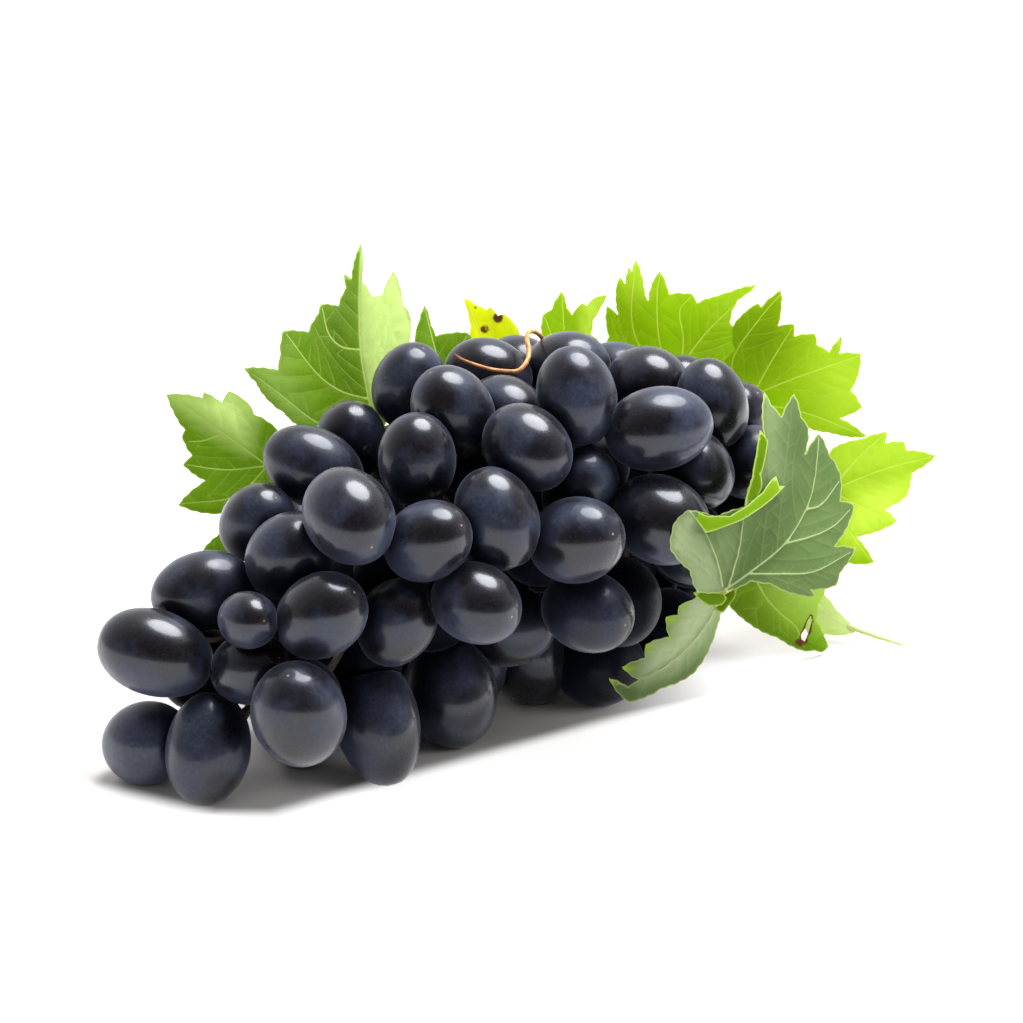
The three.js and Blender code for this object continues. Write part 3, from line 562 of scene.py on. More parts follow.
def reach_along(axis, long, wide, way):
    """How far an oval berry reaches from its middle in a direction."""
    c = np.sum(axis * way, axis=-1)
    return 1 / np.sqrt(c * c / long ** 2 + (1 - c * c) / wide ** 2)


def height_of(axis, long, wide):
    c = axis[..., 2]
    return np.sqrt(long ** 2 * c * c + wide ** 2 * (1 - c * c))


def front_set(rows, depth):
    """Place, axis and half sizes of the facing berries at some depths."""
    across, down, seen_long, wide, lean = rows.T
    long = np.maximum(seen_long, BERRY_STRETCH * wide)
    turned = np.minimum(1, np.sqrt((seen_long ** 2 - wide ** 2) / (long ** 2 - wide ** 2)))
    angle = np.radians(lean)
    size = (VIEW_DISTANCE + depth) / EYE_PIXELS / 2
    axis = -AWAY * np.sqrt(1 - turned ** 2)[:, None]
    axis = axis + RIGHT * (turned * np.cos(angle))[:, None] + UPWARD * (turned * np.sin(angle))[:, None]
    return seen_place(across, down, depth), axis, long * size, wide * size


def seat_depth(row):
    """The depth at which a facing berry meets the body of the bunch, or the floor."""
    depth = np.arange(-130, 130, 0.5)
    rows = np.repeat([row[:5]], len(depth), axis=0).astype(float)
    place, axis, long, wide = front_set(rows, depth)
    if row[5] == "floor":
        return depth[np.argmax(place[:, 2] <= height_of(axis, long, wide))]
    off = np.min(np.linalg.norm(place[:, None] - spine[None], axis=2) - girth, axis=1)
    first = np.argmax(off <= 0) if np.any(off <= 0) else np.argmin(off)
    return depth[first] + row[5]


def settle_front():
    """The facing berries, pushed apart in depth until they only press on each other."""
    rows = np.array([row[:5] for row in FRONT_BERRIES], float)
    free = np.array([row[5] != "floor" for row in FRONT_BERRIES])
    home = np.array([seat_depth(row) for row in FRONT_BERRIES])
    depth = home.copy()
    i, j = np.triu_indices(len(rows), 1)
    for _ in range(SETTLE_ROUNDS):
        place, axis, long, wide = front_set(rows, depth)
        way = place[j] - place[i]
        apart = np.linalg.norm(way, axis=1)
        way = way / apart[:, None]
        need = reach_along(axis[i], long[i], wide[i], way) + reach_along(axis[j], long[j], wide[j], way)
        need = need * BERRY_PRESS
        behind = depth[j] - depth[i]
        across = np.maximum(0, apart ** 2 - behind ** 2)
        push = ((apart < need) | (behind <= 0)) & (across < need ** 2)
        gap = np.where(push, np.sqrt(np.maximum(0, need ** 2 - across)) - behind, 0) * 0.3
        move = np.zeros(len(rows))
        np.add.at(move, i, -gap)
        np.add.at(move, j, gap)
        depth = depth + np.where(free, np.clip(move, -1, 1) + 0.02 * (home - depth), 0)
    return list(zip(*front_set(rows, depth)))


def seeded_draw(seed):
    state = float(seed)
    while True:
        state = math.fmod(state * 1103515245.0 + 12345.0, 2147483648.0)
        yield state / 2147483648.0


def any_way(draw):
    return np.array([next(draw) - 0.5, next(draw) - 0.5, next(draw) - 0.5])


def far_berry(draw, share, sunk):
    angle = next(draw) * 2 * math.pi
    way = ridge(SPINE, share + 0.01) - ridge(SPINE, share - 0.01)
    way = way / np.linalg.norm(way)
    side = np.cross(way, (0, 0, 1))
    side = side / np.linalg.norm(side)
    over = np.cross(side, way)
    out = side * math.cos(angle) + over * math.sin(angle)
    wide = (BERRY_WIDTH / 2) * (FAR_SMALLEST + FAR_SPREAD * next(draw))
    long = wide * (BERRY_STRETCH + FAR_LONGER * next(draw))
    axis = any_way(draw) + out
    axis = axis / np.linalg.norm(axis)
    place = ridge(SPINE, share) + out * sunk * ridge(SPINE_GIRTH, share)
    low = height_of(axis, long, wide)
    if place[2] < low + FLOOR_DROP:
        place[2] = low
    return [place, axis, long, wide]


def shows_outside(berry):
    turn = np.arange(8) * math.pi / 4
    rim = berry[0] + 0.85 * berry[3] * (np.cos(turn)[:, None] * RIGHT + np.sin(turn)[:, None] * UPWARD)
    return not np.all(inside(seen_pixel(rim), BUNCH_OUTLINE))


def stands_in_front(place, wide, front, behind):
    """True where a hidden berry would stand before the berries that face the viewer."""
    places = np.array([berry[0] for berry in front])
    widths = np.array([berry[3] for berry in front])
    gap = np.linalg.norm(seen_pixel(places) - seen_pixel(place), axis=1) * PIXEL
    near = gap < 0.8 * (wide + widths)
    return bool(np.any(near & ((place - places) @ AWAY < behind)))


def far_berries(front):
    draw = seeded_draw(FAR_SEED)
    far = []
    front_places = np.array([berry[0] for berry in front])
    for spacing, sunk in FAR_FILLING:
        for k in range(FAR_TRIES):
            berry = far_berry(draw, (((k * 0.381966) % 1) + 0.01) / 1.02, sunk)
            others = np.vstack([front_places] + [other[0][None] for other in far])
            apart = np.min(np.linalg.norm(others - berry[0], axis=1)) >= spacing
            if not apart or shows_outside(berry):
                continue
            if not stands_in_front(berry[0], berry[3], front, FAR_BEHIND):
                far.append(berry)
        for _ in range(PRESS_ROUNDS if sunk == 1 else 0):
            for berry in far:
                for other in list(front) + far:
                    way = berry[0] - other[0]
                    apart = math.sqrt(way @ way)
                    if 0 < apart < 40:
                        way = way / apart
                        need = reach_along(berry[1], berry[2], berry[3], way)
                        need = BERRY_PRESS * (need + reach_along(other[1], other[2], other[3], way))
                        berry[0] = berry[0] + way * 0.4 * max(0.0, need - apart)
                berry[0][2] = max(berry[0][2], height_of(berry[1], berry[2], berry[3]))
    return far


def inner_berries(outer):
    """Small berries inside the bunch, where gaps between the outer ones would let light through."""
    draw = seeded_draw(INNER_SEED)
    found = []
    places = np.array([berry[0] for berry in outer])
    for share in np.linspace(0.08, 0.92, INNER_TRIES):
        way = any_way(draw)
        way /= np.linalg.norm(way)
        place = ridge(SPINE, share) + way * next(draw) * max(0.0, ridge(SPINE_GIRTH, share) - 7)
        gap = np.min(np.linalg.norm(places - place, axis=1))
        in_front = stands_in_front(place, INNER_WIDE, outer[:len(FRONT_BERRIES)], INNER_BEHIND)
        if gap > INNER_GAP and place[2] > 10 and not in_front:
            wide = 8.6 + 1.2 * next(draw)
            found.append([place, way, wide * INNER_STRETCH, wide])
            places = np.vstack([places, place])
    upright = np.array([0.0, 0.0, 1.0])
    return found + [[seen_place(*plug), upright, PLUG_LONG, INNER_WIDE] for plug in GAP_PLUGS]


# Meshes

class Pile:
    """Points, faces and marks gathered for one mesh."""

    def __init__(self):
        self.points = []
        self.faces = []
        self.skins = []
        self.marks = {}
        self.count = 0

    def add(self, points, faces, skins=0, **marks):
        self.points.append(np.asarray(points, float))
        self.faces.extend([[self.count + i for i in face] for face in faces])
        self.skins.extend([skins] * len(faces) if isinstance(skins, int) else skins)
        for name, value in marks.items():
            self.marks.setdefault(name, []).append(np.asarray(value, float))
        self.count += len(points)

    def make(self, name, materials, node):
        mesh = bpy.data.meshes.new(name)
        mesh.from_pydata(to_row(np.vstack(self.points)).tolist(), [], self.faces)
        for material in materials:
            mesh.materials.append(material)
        mesh.polygons.foreach_set("material_index", self.skins)
        mesh.polygons.foreach_set("use_smooth", [True] * len(self.faces))
        for mark, values in self.marks.items():
            flat = np.concatenate([v.reshape(len(v), -1) for v in values])
            kind = "FLOAT_VECTOR" if flat.shape[1] == 3 else "FLOAT"
            layer = mesh.attributes.new(mark, kind, "POINT")
            layer.data.foreach_set("vector" if flat.shape[1] == 3 else "value", flat.ravel())
        mesh.update()
        mesh.set_sharp_from_angle(angle=math.radians(62))
        piece = bpy.data.objects.new(name, mesh)
        bpy.context.scene.collection.objects.link(piece)
        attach(piece, "root")
        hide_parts(node)


def smooth_line(points, count):
    """A smooth curve through points, as count places evenly spaced along it."""
    pts = np.asarray(points, float)
    ext = np.vstack([2 * pts[0] - pts[1], pts, 2 * pts[-1] - pts[-2]])
    out = []
    for k in range(1, len(ext) - 2):
        p0, p1, p2, p3 = ext[k - 1:k + 3]
        t1 = np.linalg.norm(p1 - p0) ** 0.5
        t2 = t1 + np.linalg.norm(p2 - p1) ** 0.5
        t3 = t2 + np.linalg.norm(p3 - p2) ** 0.5
        t = np.linspace(t1, t2, 24, endpoint=False)[:, None]
        a1 = (t1 - t) / t1 * p0 + t / t1 * p1
        a2 = (t2 - t) / (t2 - t1) * p1 + (t - t1) / (t2 - t1) * p2
        a3 = (t3 - t) / (t3 - t2) * p2 + (t - t2) / (t3 - t2) * p3
        b1 = (t2 - t) / t2 * a1 + t / t2 * a2
        b2 = (t3 - t) / (t3 - t1) * a2 + (t - t1) / (t3 - t1) * a3
        out.append((t2 - t) / (t2 - t1) * b1 + (t - t1) / (t2 - t1) * b2)
    dense = np.vstack(out + [pts[-1:]])
    run = np.concatenate([[0], np.cumsum(np.linalg.norm(np.diff(dense, axis=0), axis=1))])
    at = np.linspace(0, run[-1], count)
    return np.stack([np.interp(at, run, dense[:, k]) for k in range(3)], 1)


def at_share(line, share):
    """The place at a share of a line's points."""
    k = share * (len(line) - 1)
    i = min(int(k), len(line) - 2)
    return line[i] + (line[i + 1] - line[i]) * (k - i)


def limb(pile, line, radius, sides, skin=0):
    """A round limb along a line of places, closed and domed at both ends. radius(share, angles)."""
    steps = len(line)
    along = np.gradient(line, axis=0)
    along /= np.linalg.norm(along, axis=1)[:, None]
    up = np.cross(along[0], (0.3, 0.2, 1.0))
    up /= np.linalg.norm(up)
    angles = np.arange(sides) * 2 * math.pi / sides
    rows = []
    for k in range(steps):
        up = up - along[k] * (up @ along[k])
        up /= np.linalg.norm(up)
        over = np.cross(along[k], up)
        reach = radius(k / (steps - 1), angles) * np.ones(sides)
        spread = np.cos(angles)[:, None] * up + np.sin(angles)[:, None] * over
        rows.append(line[k] + reach[:, None] * spread)
    start = line[:1] - along[:1] * np.mean(radius(0.0, angles)) * 0.3
    end = line[-1:] + along[-1:] * np.mean(radius(1.0, angles)) * 0.3
    points = np.vstack(rows + [start, end])
    faces = []
    for k in range(steps - 1):
        for s in range(sides):
            n = (s + 1) % sides
            faces.append((k * sides + s, k * sides + n, (k + 1) * sides + n, (k + 1) * sides + s))
    first = steps * sides
    for s in range(sides):
        n = (s + 1) % sides
        faces.append((first, n, s))
        faces.append((first + 1, (steps - 1) * sides + s, (steps - 1) * sides + n))
    run = np.concatenate([np.repeat(np.linspace(0, 1, steps), sides), [0, 1]])
    length = np.sum(np.linalg.norm(np.diff(line, axis=0), axis=1))
    turn = np.concatenate([np.tile(angles, steps), [0, 0]])
    grain = np.stack([np.cos(turn), np.sin(turn), run * length], 1)
    blank = np.zeros(len(points))
    pile.add(points, faces, skin, grain=grain, share=run, vein=blank + FAR_OFF, twig=blank + FAR_OFF,
             rim=blank + FAR_OFF, spot=blank, glow=blank, pale=blank, dim=blank)


# Materials

class Nodes:
    """Short names for making a node material."""

    def __init__(self, name):
        self.material = bpy.data.materials.new(name)
        self.material.use_nodes = True
        self.tree = self.material.node_tree
        self.tree.nodes.clear()
        self.out = self.tree.nodes.new("ShaderNodeOutputMaterial")

    def new(self, kind, inputs=None, **settings):
        node = self.tree.nodes.new(kind)
        for key, value in settings.items():
            setattr(node, key, value)
        for key, value in (inputs or {}).items():
            if isinstance(value, bpy.types.NodeSocket):
                self.tree.links.new(value, node.inputs[key])
            else:
                node.inputs[key].default_value = value
        return node

    def mark(self, name, output="Fac"):
        return self.new("ShaderNodeAttribute", attribute_name=name).outputs[output]

    def span(self, value, low, high, to_low=0.0, to_high=1.0):
        node = self.new("ShaderNodeMapRange", {0: value, 1: low, 2: high, 3: to_low, 4: to_high},
                        interpolation_type="SMOOTHSTEP")
        return node.outputs[0]

    def mix(self, factor, a, b):
        node = self.new("ShaderNodeMix", {0: factor, 6: a, 7: b}, data_type="RGBA")
        return node.outputs[2]

    def maths(self, operation, a, b):
        return self.new("ShaderNodeMath", {0: a, 1: b}, operation=operation).outputs[0]

    def plus(self, a, b):
        return self.maths("ADD", a, b)

    def times(self, a, b):
        return self.maths("MULTIPLY", a, b)

    def noise(self, vector, scale, detail=3.0, rough=0.5):
        return self.new("ShaderNodeTexNoise", {"Vector": vector, "Scale": scale, "Detail": detail,
                                               "Roughness": rough}).outputs["Fac"]

    def finish(self, shader):
        self.tree.links.new(shader, self.out.inputs["Surface"])
        return self.material


def rgb(*values):
    return (*values, 1.0)


def berry_skin():
    """Blue-black skin under a patchy bloom, with specks and a scar at the tip; painted shade takes bloom off
    the top and makes it darker and less glossy where berries crowd, low on the right and inside.
    """
    n = Nodes("berry_skin")
    local = n.mark("local", "Vector")
    tip = n.mark("tip")
    broad = n.noise(local, 0.9, 2.0)
    ragged = n.noise(local, 5.0, 5.0, 0.62)
    deep = n.mark("deep")
    patch = n.plus(broad, n.times(n.maths("SUBTRACT", ragged, 0.5), 0.10))
    # Painted shade: less bloom on the side turned up towards the lamp, so the top reads dark and glossy.
    patch = n.maths("SUBTRACT", patch, n.times(n.mark("worn"), 0.17))
    rubbed = n.span(n.noise(local, 1.9, 2.0), 0.60, 0.74, 1.0, 0.4)
    bloom = n.times(n.span(patch, 0.29, 0.55), rubbed)
    mottle = n.noise(local, 11.0, 4.0, 0.6)
    dots = n.new("ShaderNodeTexVoronoi", {"Vector": local, "Scale": 7.0}).outputs["Distance"]
    speck = n.times(n.span(dots, 0.075, 0.045), n.span(ragged, 0.45, 0.6))
    dark = n.mix(n.span(mottle, 0.35, 0.7), rgb(0.0036, 0.0028, 0.0038), rgb(0.0075, 0.0054, 0.0066))
    waxy = n.mix(n.span(mottle, 0.3, 0.75), rgb(0.012, 0.015, 0.031), rgb(0.025, 0.031, 0.055))
    colour = n.mix(bloom, dark, waxy)
    colour = n.mix(n.times(speck, 0.55), colour, rgb(0.20, 0.21, 0.25))
    scar = n.span(tip, 0.9978, 0.9990)
    ring = n.times(n.span(tip, 0.985, 0.996), 0.6)
    colour = n.mix(ring, colour, rgb(0.012, 0.010, 0.014))
    colour = n.mix(scar, colour, rgb(0.20, 0.16, 0.12))
    # Painted shade: near black, with less gloss and coat, where berries crowd, lie low on the right or sit
    # inside.
    colour = n.mix(n.span(deep, 0.15, 0.9, 0.0, 0.92), colour, rgb(0.0012, 0.0014, 0.0030))
    rough = n.plus(n.span(bloom, 0.0, 1.0, 0.24, 0.42), n.times(mottle, 0.08))
    gloss = n.span(deep, 0.15, 0.95, 0.32, 0.03)
    coat = n.times(n.span(deep, 0.15, 0.9, 1.0, 0.0), n.span(bloom, 0.0, 1.0, 0.5, 0.36))
    fine = n.noise(local, 42.0, 2.0)
    bump = n.new("ShaderNodeBump", {"Height": n.plus(fine, n.times(ragged, 0.8)),
                                    "Strength": 0.05, "Distance": 0.0006})
    skin = n.new("ShaderNodeBsdfPrincipled", {
        "Base Color": colour, "Roughness": rough, "IOR": 1.5, "Normal": bump.outputs[0],
        "Specular IOR Level": gloss, "Specular Tint": rgb(0.76, 0.84, 1.0),
        "Coat Weight": coat, "Coat Roughness": 0.13, "Coat IOR": 1.45,
        "Sheen Weight": 0.12, "Sheen Roughness": 0.4, "Sheen Tint": rgb(0.62, 0.68, 0.9)})
    return n.finish(skin.outputs[0])


def leaf_skin(name, base, shade, vein, rim, wan, through, share, twigged, raised):
    """One face of a leaf, which also lets light through."""
    # Painted shade in dim places: dusk on the face and dull in the light through; faded is the lighter light
    # through pale places.
    dusk = rgb(*(0.5 * value for value in shade[:3]))
    faded = rgb(*(min(0.95, 1.25 * value) for value in wan[:3]))
    dull = rgb(*(0.45 * value for value in through[:3]))
    n = Nodes(name)
    flat = n.mark("grain", "Vector")
    lines = n.span(n.mark("vein"), 1.1, 0.3)
    twigs = n.span(n.mark("twig"), 1.4, 0.4)
    border = n.span(n.mark("rim"), 0.45, 0.1)
    dim = n.mark("dim")
    broad = n.noise(flat, 0.07, 2.0)
    cloudy = n.noise(flat, 0.4, 4.0, 0.6)
    cells = n.new("ShaderNodeTexVoronoi", {"Vector": flat, "Scale": 0.7}, feature="DISTANCE_TO_EDGE")
    net = n.span(cells.outputs["Distance"], 0.09, 0.02)
    small = n.new("ShaderNodeTexVoronoi", {"Vector": flat, "Scale": 1.9}, feature="DISTANCE_TO_EDGE")
    fine = n.span(small.outputs["Distance"], 0.12, 0.02)
    netting = n.plus(n.times(net, 0.3 * twigged), n.times(fine, 0.15 * twigged))
    netting = n.plus(netting, n.times(twigs, twigged))
    ground = n.mix(n.span(n.plus(broad, n.times(cloudy, 0.4)), 0.45, 0.95), shade, base)
    pale = n.times(n.mark("pale"), n.span(cloudy, 0.1, 0.6, 0.8, 1.0))
    # Pale places are painted lighter and dim places painted darker, as painted light and shade.
    ground = n.mix(dim, n.mix(pale, ground, wan), dusk)
    ground = n.mix(netting, ground, vein)
    colour = n.mix(n.times(lines, 0.85), ground, vein)
    # Painted rim light: a lighter line along the edges.
    colour = n.mix(n.times(border, 0.7), colour, rim)
    # Painted light: lime where light shines through the blade.
    glow = n.mark("glow")
    colour = n.mix(glow, colour, rgb(0.34, 0.52, 0.04))
    spot = n.times(n.mark("spot"), n.span(cloudy, 0.25, 0.5, 0.4, 1.0))
    burnt = n.span(spot, 0.3, 0.6)
    colour = n.mix(burnt, colour, rgb(0.13, 0.045, 0.012))
    light = n.mix(dim, n.mix(pale, through, faded), dull)
    light = n.mix(n.times(lines, 0.6), light, rgb(0.62, 0.70, 0.20))
    light = n.mix(n.times(netting, 0.8), light, rgb(0.45, 0.52, 0.05))
    light = n.mix(burnt, light, rgb(0.12, 0.03, 0.005))
    relief = n.plus(n.times(lines, raised), n.times(netting, raised * 2.2))
    relief = n.plus(relief, n.times(n.noise(flat, 3.0, 3.0), 0.3))
    bump = n.new("ShaderNodeBump", {"Height": relief, "Strength": 0.35, "Distance": 0.0004})
    body = n.new("ShaderNodeBsdfPrincipled", {"Base Color": colour, "Roughness": 0.5, "IOR": 1.42,
                                              "Specular IOR Level": 0.08, "Normal": bump.outputs[0]})
    glowing = n.new("ShaderNodeBsdfTranslucent", {"Color": light})
    joined = n.new("ShaderNodeMixShader", {0: share, 1: body.outputs[0], 2: glowing.outputs[0]})
    return n.finish(joined.outputs[0])


def stalk_skin(name, base, dark, rough):
    n = Nodes(name)
    grain = n.mark("grain", "Vector")
    stretched = n.new("ShaderNodeVectorMath", {0: grain, 1: (1.0, 1.0, 0.05)}, operation="MULTIPLY")
    streaks = n.noise(stretched.outputs[0], 3.2, 5.0, 0.65)
    broad = n.noise(grain, 0.12, 3.0)
    colour = n.mix(n.span(streaks, 0.36, 0.66), dark, base)
    colour = n.mix(n.times(n.span(broad, 0.5, 0.75), 0.5), colour, dark)
    bump = n.new("ShaderNodeBump", {"Height": streaks, "Strength": 0.5, "Distance": 0.0005})
    body = n.new("ShaderNodeBsdfPrincipled",
                 {"Base Color": colour, "Roughness": rough, "Normal": bump.outputs[0]})
    return n.finish(body.outputs[0])


def tendril_skin():
    n = Nodes("tendril_skin")
    share = n.mark("share")
    grain = n.mark("grain", "Vector")
    streaks = n.noise(grain, 0.7, 4.0, 0.6)
    colour = n.mix(n.span(streaks, 0.35, 0.7), rgb(0.30, 0.105, 0.022), rgb(0.62, 0.33, 0.10))
    colour = n.mix(n.span(share, 0.14, 0.0), colour, rgb(0.14, 0.025, 0.012))
    bump = n.new("ShaderNodeBump", {"Height": streaks, "Strength": 0.25, "Distance": 0.0003})
    body = n.new("ShaderNodeBsdfPrincipled",
                 {"Base Color": colour, "Roughness": 0.42, "Normal": bump.outputs[0]})
    return n.finish(body.outputs[0])


LOOKS = {
    # base, shade, vein, rim (painted rim light along the edges), wan parts, light through, share of light
    # through, strength of the side veins
    "green": (rgb(0.14, 0.25, 0.006), rgb(0.09, 0.18, 0.004), rgb(0.46, 0.58, 0.16), rgb(0.36, 0.48, 0.09),
              rgb(0.60, 0.76, 0.27), rgb(0.34, 0.56, 0.006), 0.40, 0.22),
    "lit": (rgb(0.15, 0.26, 0.004), rgb(0.10, 0.19, 0.003), rgb(0.42, 0.54, 0.10), rgb(0.38, 0.5, 0.08),
            rgb(0.40, 0.56, 0.10), rgb(0.42, 0.66, 0.008), 0.46, 0.2),
    "bright": (rgb(0.24, 0.37, 0.002), rgb(0.17, 0.28, 0.001), rgb(0.56, 0.68, 0.10), rgb(0.46, 0.6, 0.05),
               rgb(0.52, 0.66, 0.08), rgb(0.47, 0.68, 0.002), 0.56, 0.22),
    "yellow": (rgb(0.74, 0.72, 0.006), rgb(0.60, 0.62, 0.004), rgb(0.62, 0.64, 0.07), rgb(0.56, 0.5, 0.05),
               rgb(0.6, 0.6, 0.1), rgb(0.86, 0.84, 0.006), 0.56, 0.2),
    "pale": (rgb(0.80, 0.87, 0.52), rgb(0.68, 0.80, 0.36), rgb(0.84, 0.88, 0.6), rgb(0.74, 0.8, 0.42),
             rgb(0.7, 0.8, 0.4), rgb(0.8, 0.92, 0.4), 0.5, 0.15),
    "grey": (rgb(0.115, 0.175, 0.060), rgb(0.086, 0.140, 0.046), rgb(0.38, 0.46, 0.20),
             rgb(0.40, 0.50, 0.14), rgb(0.42, 0.50, 0.29), rgb(0.24, 0.40, 0.03), 0.24, 0.1),
    "dark": (rgb(0.075, 0.17, 0.012), rgb(0.045, 0.115, 0.008), rgb(0.26, 0.36, 0.09), rgb(0.18, 0.3, 0.05),
             rgb(0.2, 0.3, 0.06), rgb(0.28, 0.46, 0.02), 0.3, 0.25),
    "flap": (rgb(0.12, 0.22, 0.003), rgb(0.085, 0.17, 0.002), rgb(0.30, 0.42, 0.04), rgb(0.48, 0.60, 0.12),
             rgb(0.3, 0.42, 0.04), rgb(0.34, 0.55, 0.004), 0.35, 0.1),
    # A lighter copy of the green for the strip under the rim that is lit from behind: painted light.
    "painted_backlight": (rgb(0.26, 0.44, 0.015), rgb(0.20, 0.37, 0.008), rgb(0.46, 0.6, 0.14), rgb(0.55, 0.68, 0.22),
             rgb(0.5, 0.64, 0.2), rgb(0.48, 0.74, 0.01), 0.45, 0.1),
}
UNDER_LOOKS = {
    "green": (rgb(0.24, 0.34, 0.09), rgb(0.17, 0.26, 0.06), rgb(0.46, 0.56, 0.24), rgb(0.36, 0.5, 0.12),
              rgb(0.42, 0.54, 0.2), rgb(0.34, 0.56, 0.006), 0.40, 0.3),
    "bright": (rgb(0.34, 0.48, 0.07), rgb(0.26, 0.4, 0.04), rgb(0.52, 0.64, 0.2), rgb(0.5, 0.64, 0.12),
               rgb(0.5, 0.64, 0.18), rgb(0.47, 0.68, 0.002), 0.56, 0.3),
}


# The leaves

def base_depth(sheet, x, y):
    """Depth of a sheet before its puckers and curls."""
    line = math.radians(sheet["fold"][0])
    off = y * math.cos(line) - x * math.sin(line)
    r2 = x * x + y * y
    wave = sheet["ripple"][0] * np.sin(sheet["ripple"][1] * np.arctan2(y, x)) * (r2 / 900)
    crease = sheet["fold"][1] * (np.sqrt(off * off + 4) - 2)
    plane = sheet["depth"] + sheet["lean"][0] * x + sheet["lean"][1] * y
    return plane + sheet["bow"] * r2 / 30 + crease + wave


def blade_place(sheet, xy, extra=0.0):
    across = sheet["hub"][0] + xy[:, 0] / PIXEL
    down = sheet["hub"][1] - xy[:, 1] / PIXEL
    return seen_place(across, down, base_depth(sheet, xy[:, 0], xy[:, 1]) + extra)


def to_flat(sheet, seen):
    """Seen pixels as millimetres round the hub of a sheet."""
    seen = np.asarray(seen, float)
    return np.stack([(seen[:, 0] - sheet["hub"][0]) * PIXEL, (sheet["hub"][1] - seen[:, 1]) * PIXEL], 1)


def off_lines(points, starts, ends):
    """Distances of points from each of some segments."""
    way = ends - starts
    size = np.maximum(np.sum(way * way, axis=1), 1e-9)
    rel = points[:, None] - starts[None]
    t = np.clip(np.sum(rel * way, axis=2) / size, 0, 1)
    return np.linalg.norm(rel - t[..., None] * way, axis=2)


def gap_to(points, starts, ends):
    """Distance of each point from the nearest of some segments."""
    return np.min(off_lines(points, starts, ends), axis=1)


def rounded_edge(flat, toothed):
    """The outline with its runs bowed out a little and, if toothed, small teeth on the long ones."""
    out = []
    count = len(flat)
    for i in range(count):
        a = flat[i]
        b = flat[(i + 1) % count]
        way = b - a
        size = np.linalg.norm(way)
        outward = np.array([way[1], -way[0]]) / size
        steps = max(2, int(math.ceil(size / EDGE_STEP)))
        for k in range(steps):
            t = k / steps
            bow = (0.05 if toothed else 0.015) * size * math.sin(math.pi * t)
            nick = 0
            if toothed and size > TOOTHED_RUN and k > 0:
                nick = TOOTH_HEIGHT * math.sin(2 * math.pi * t * max(1, round(size / TOOTH_PITCH)))
            out.append(a + way * t + outward * (bow + nick))
    return np.array(out)


def resample(line, step):
    line = np.asarray(line, float)
    run = np.concatenate([[0], np.cumsum(np.linalg.norm(np.diff(line, axis=0), axis=1))])
    at = np.linspace(0, run[-1], max(2, int(run[-1] / step) + 1))
    return np.stack([np.interp(at, run, line[:, k]) for k in range(2)], 1)


def bent(line):
    """A vein through its points as a smooth line."""
    if len(line) < 3:
        return resample(line, VEIN_STEP)
    pts = np.column_stack([line, np.zeros(len(line))])
    return resample(smooth_line(pts, 40)[:, :2], VEIN_STEP)


def branch_veins(mains, rim, draw):
    """Side veins off each main vein, running to the edge."""
    lines = []
    rim_a, rim_b = rim, np.roll(rim, -1, axis=0)
    taken = np.vstack(mains)
    for main in mains:
        run = np.sum(np.linalg.norm(np.diff(main, axis=0), axis=1))
        count = int(run / SIDE_VEIN_PITCH)
        for k in range(count):
            share = (k + 0.8) / (count + 0.6)
            i = min(int(share * (len(main) - 1)), len(main) - 2)
            for side in (-1, 1):
                here = main[min(i + (side > 0), len(main) - 2)]
                way = main[i + 1] - main[i]
                angle = math.atan2(way[1], way[0]) + side * math.radians(44 + 10 * next(draw))
                line = [here]
                for step in range(40):
                    angle -= side * 0.02
                    here = here + 0.75 * np.array([math.cos(angle), math.sin(angle)])
                    line.append(here)
                    gap = gap_to(here[None], rim_a, rim_b)[0]
                    if gap < 0.7 or not inside(here[None], rim)[0]:
                        break
                    if step > 2 and np.min(np.linalg.norm(taken - here, axis=1)) < 1.3:
                        break
                if len(line) > 4:
                    line = np.array(line[:-1])
                    lines.append(line)
                    taken = np.vstack([taken, line[2:]])
    return lines


def flanks(line, off):
    """Places on both sides of a vein."""
    way = np.gradient(line, axis=0)
    way /= np.maximum(np.linalg.norm(way, axis=1), 1e-9)[:, None]
    side = np.column_stack([-way[:, 1], way[:, 0]]) * off
    return np.vstack([line + side, line - side])


def segments(lines, broad, narrow):
    if not lines:
        return np.full((1, 2), 900.0), np.full((1, 2), 901.0), np.ones(1)
    starts = np.vstack([line[:-1] for line in lines])
    ends = np.vstack([line[1:] for line in lines])
    widths = np.concatenate([np.linspace(broad, narrow, len(line) - 1) for line in lines])
    return starts, ends, widths


def within(points, outline, fade):
    """1 well inside an outline, 0 outside, with a soft border."""
    off = gap_to(points, outline, np.roll(outline, -1, axis=0))
    return np.clip(0.5 + np.where(inside(points, outline), off, -off) / (2 * fade), 0, 1)


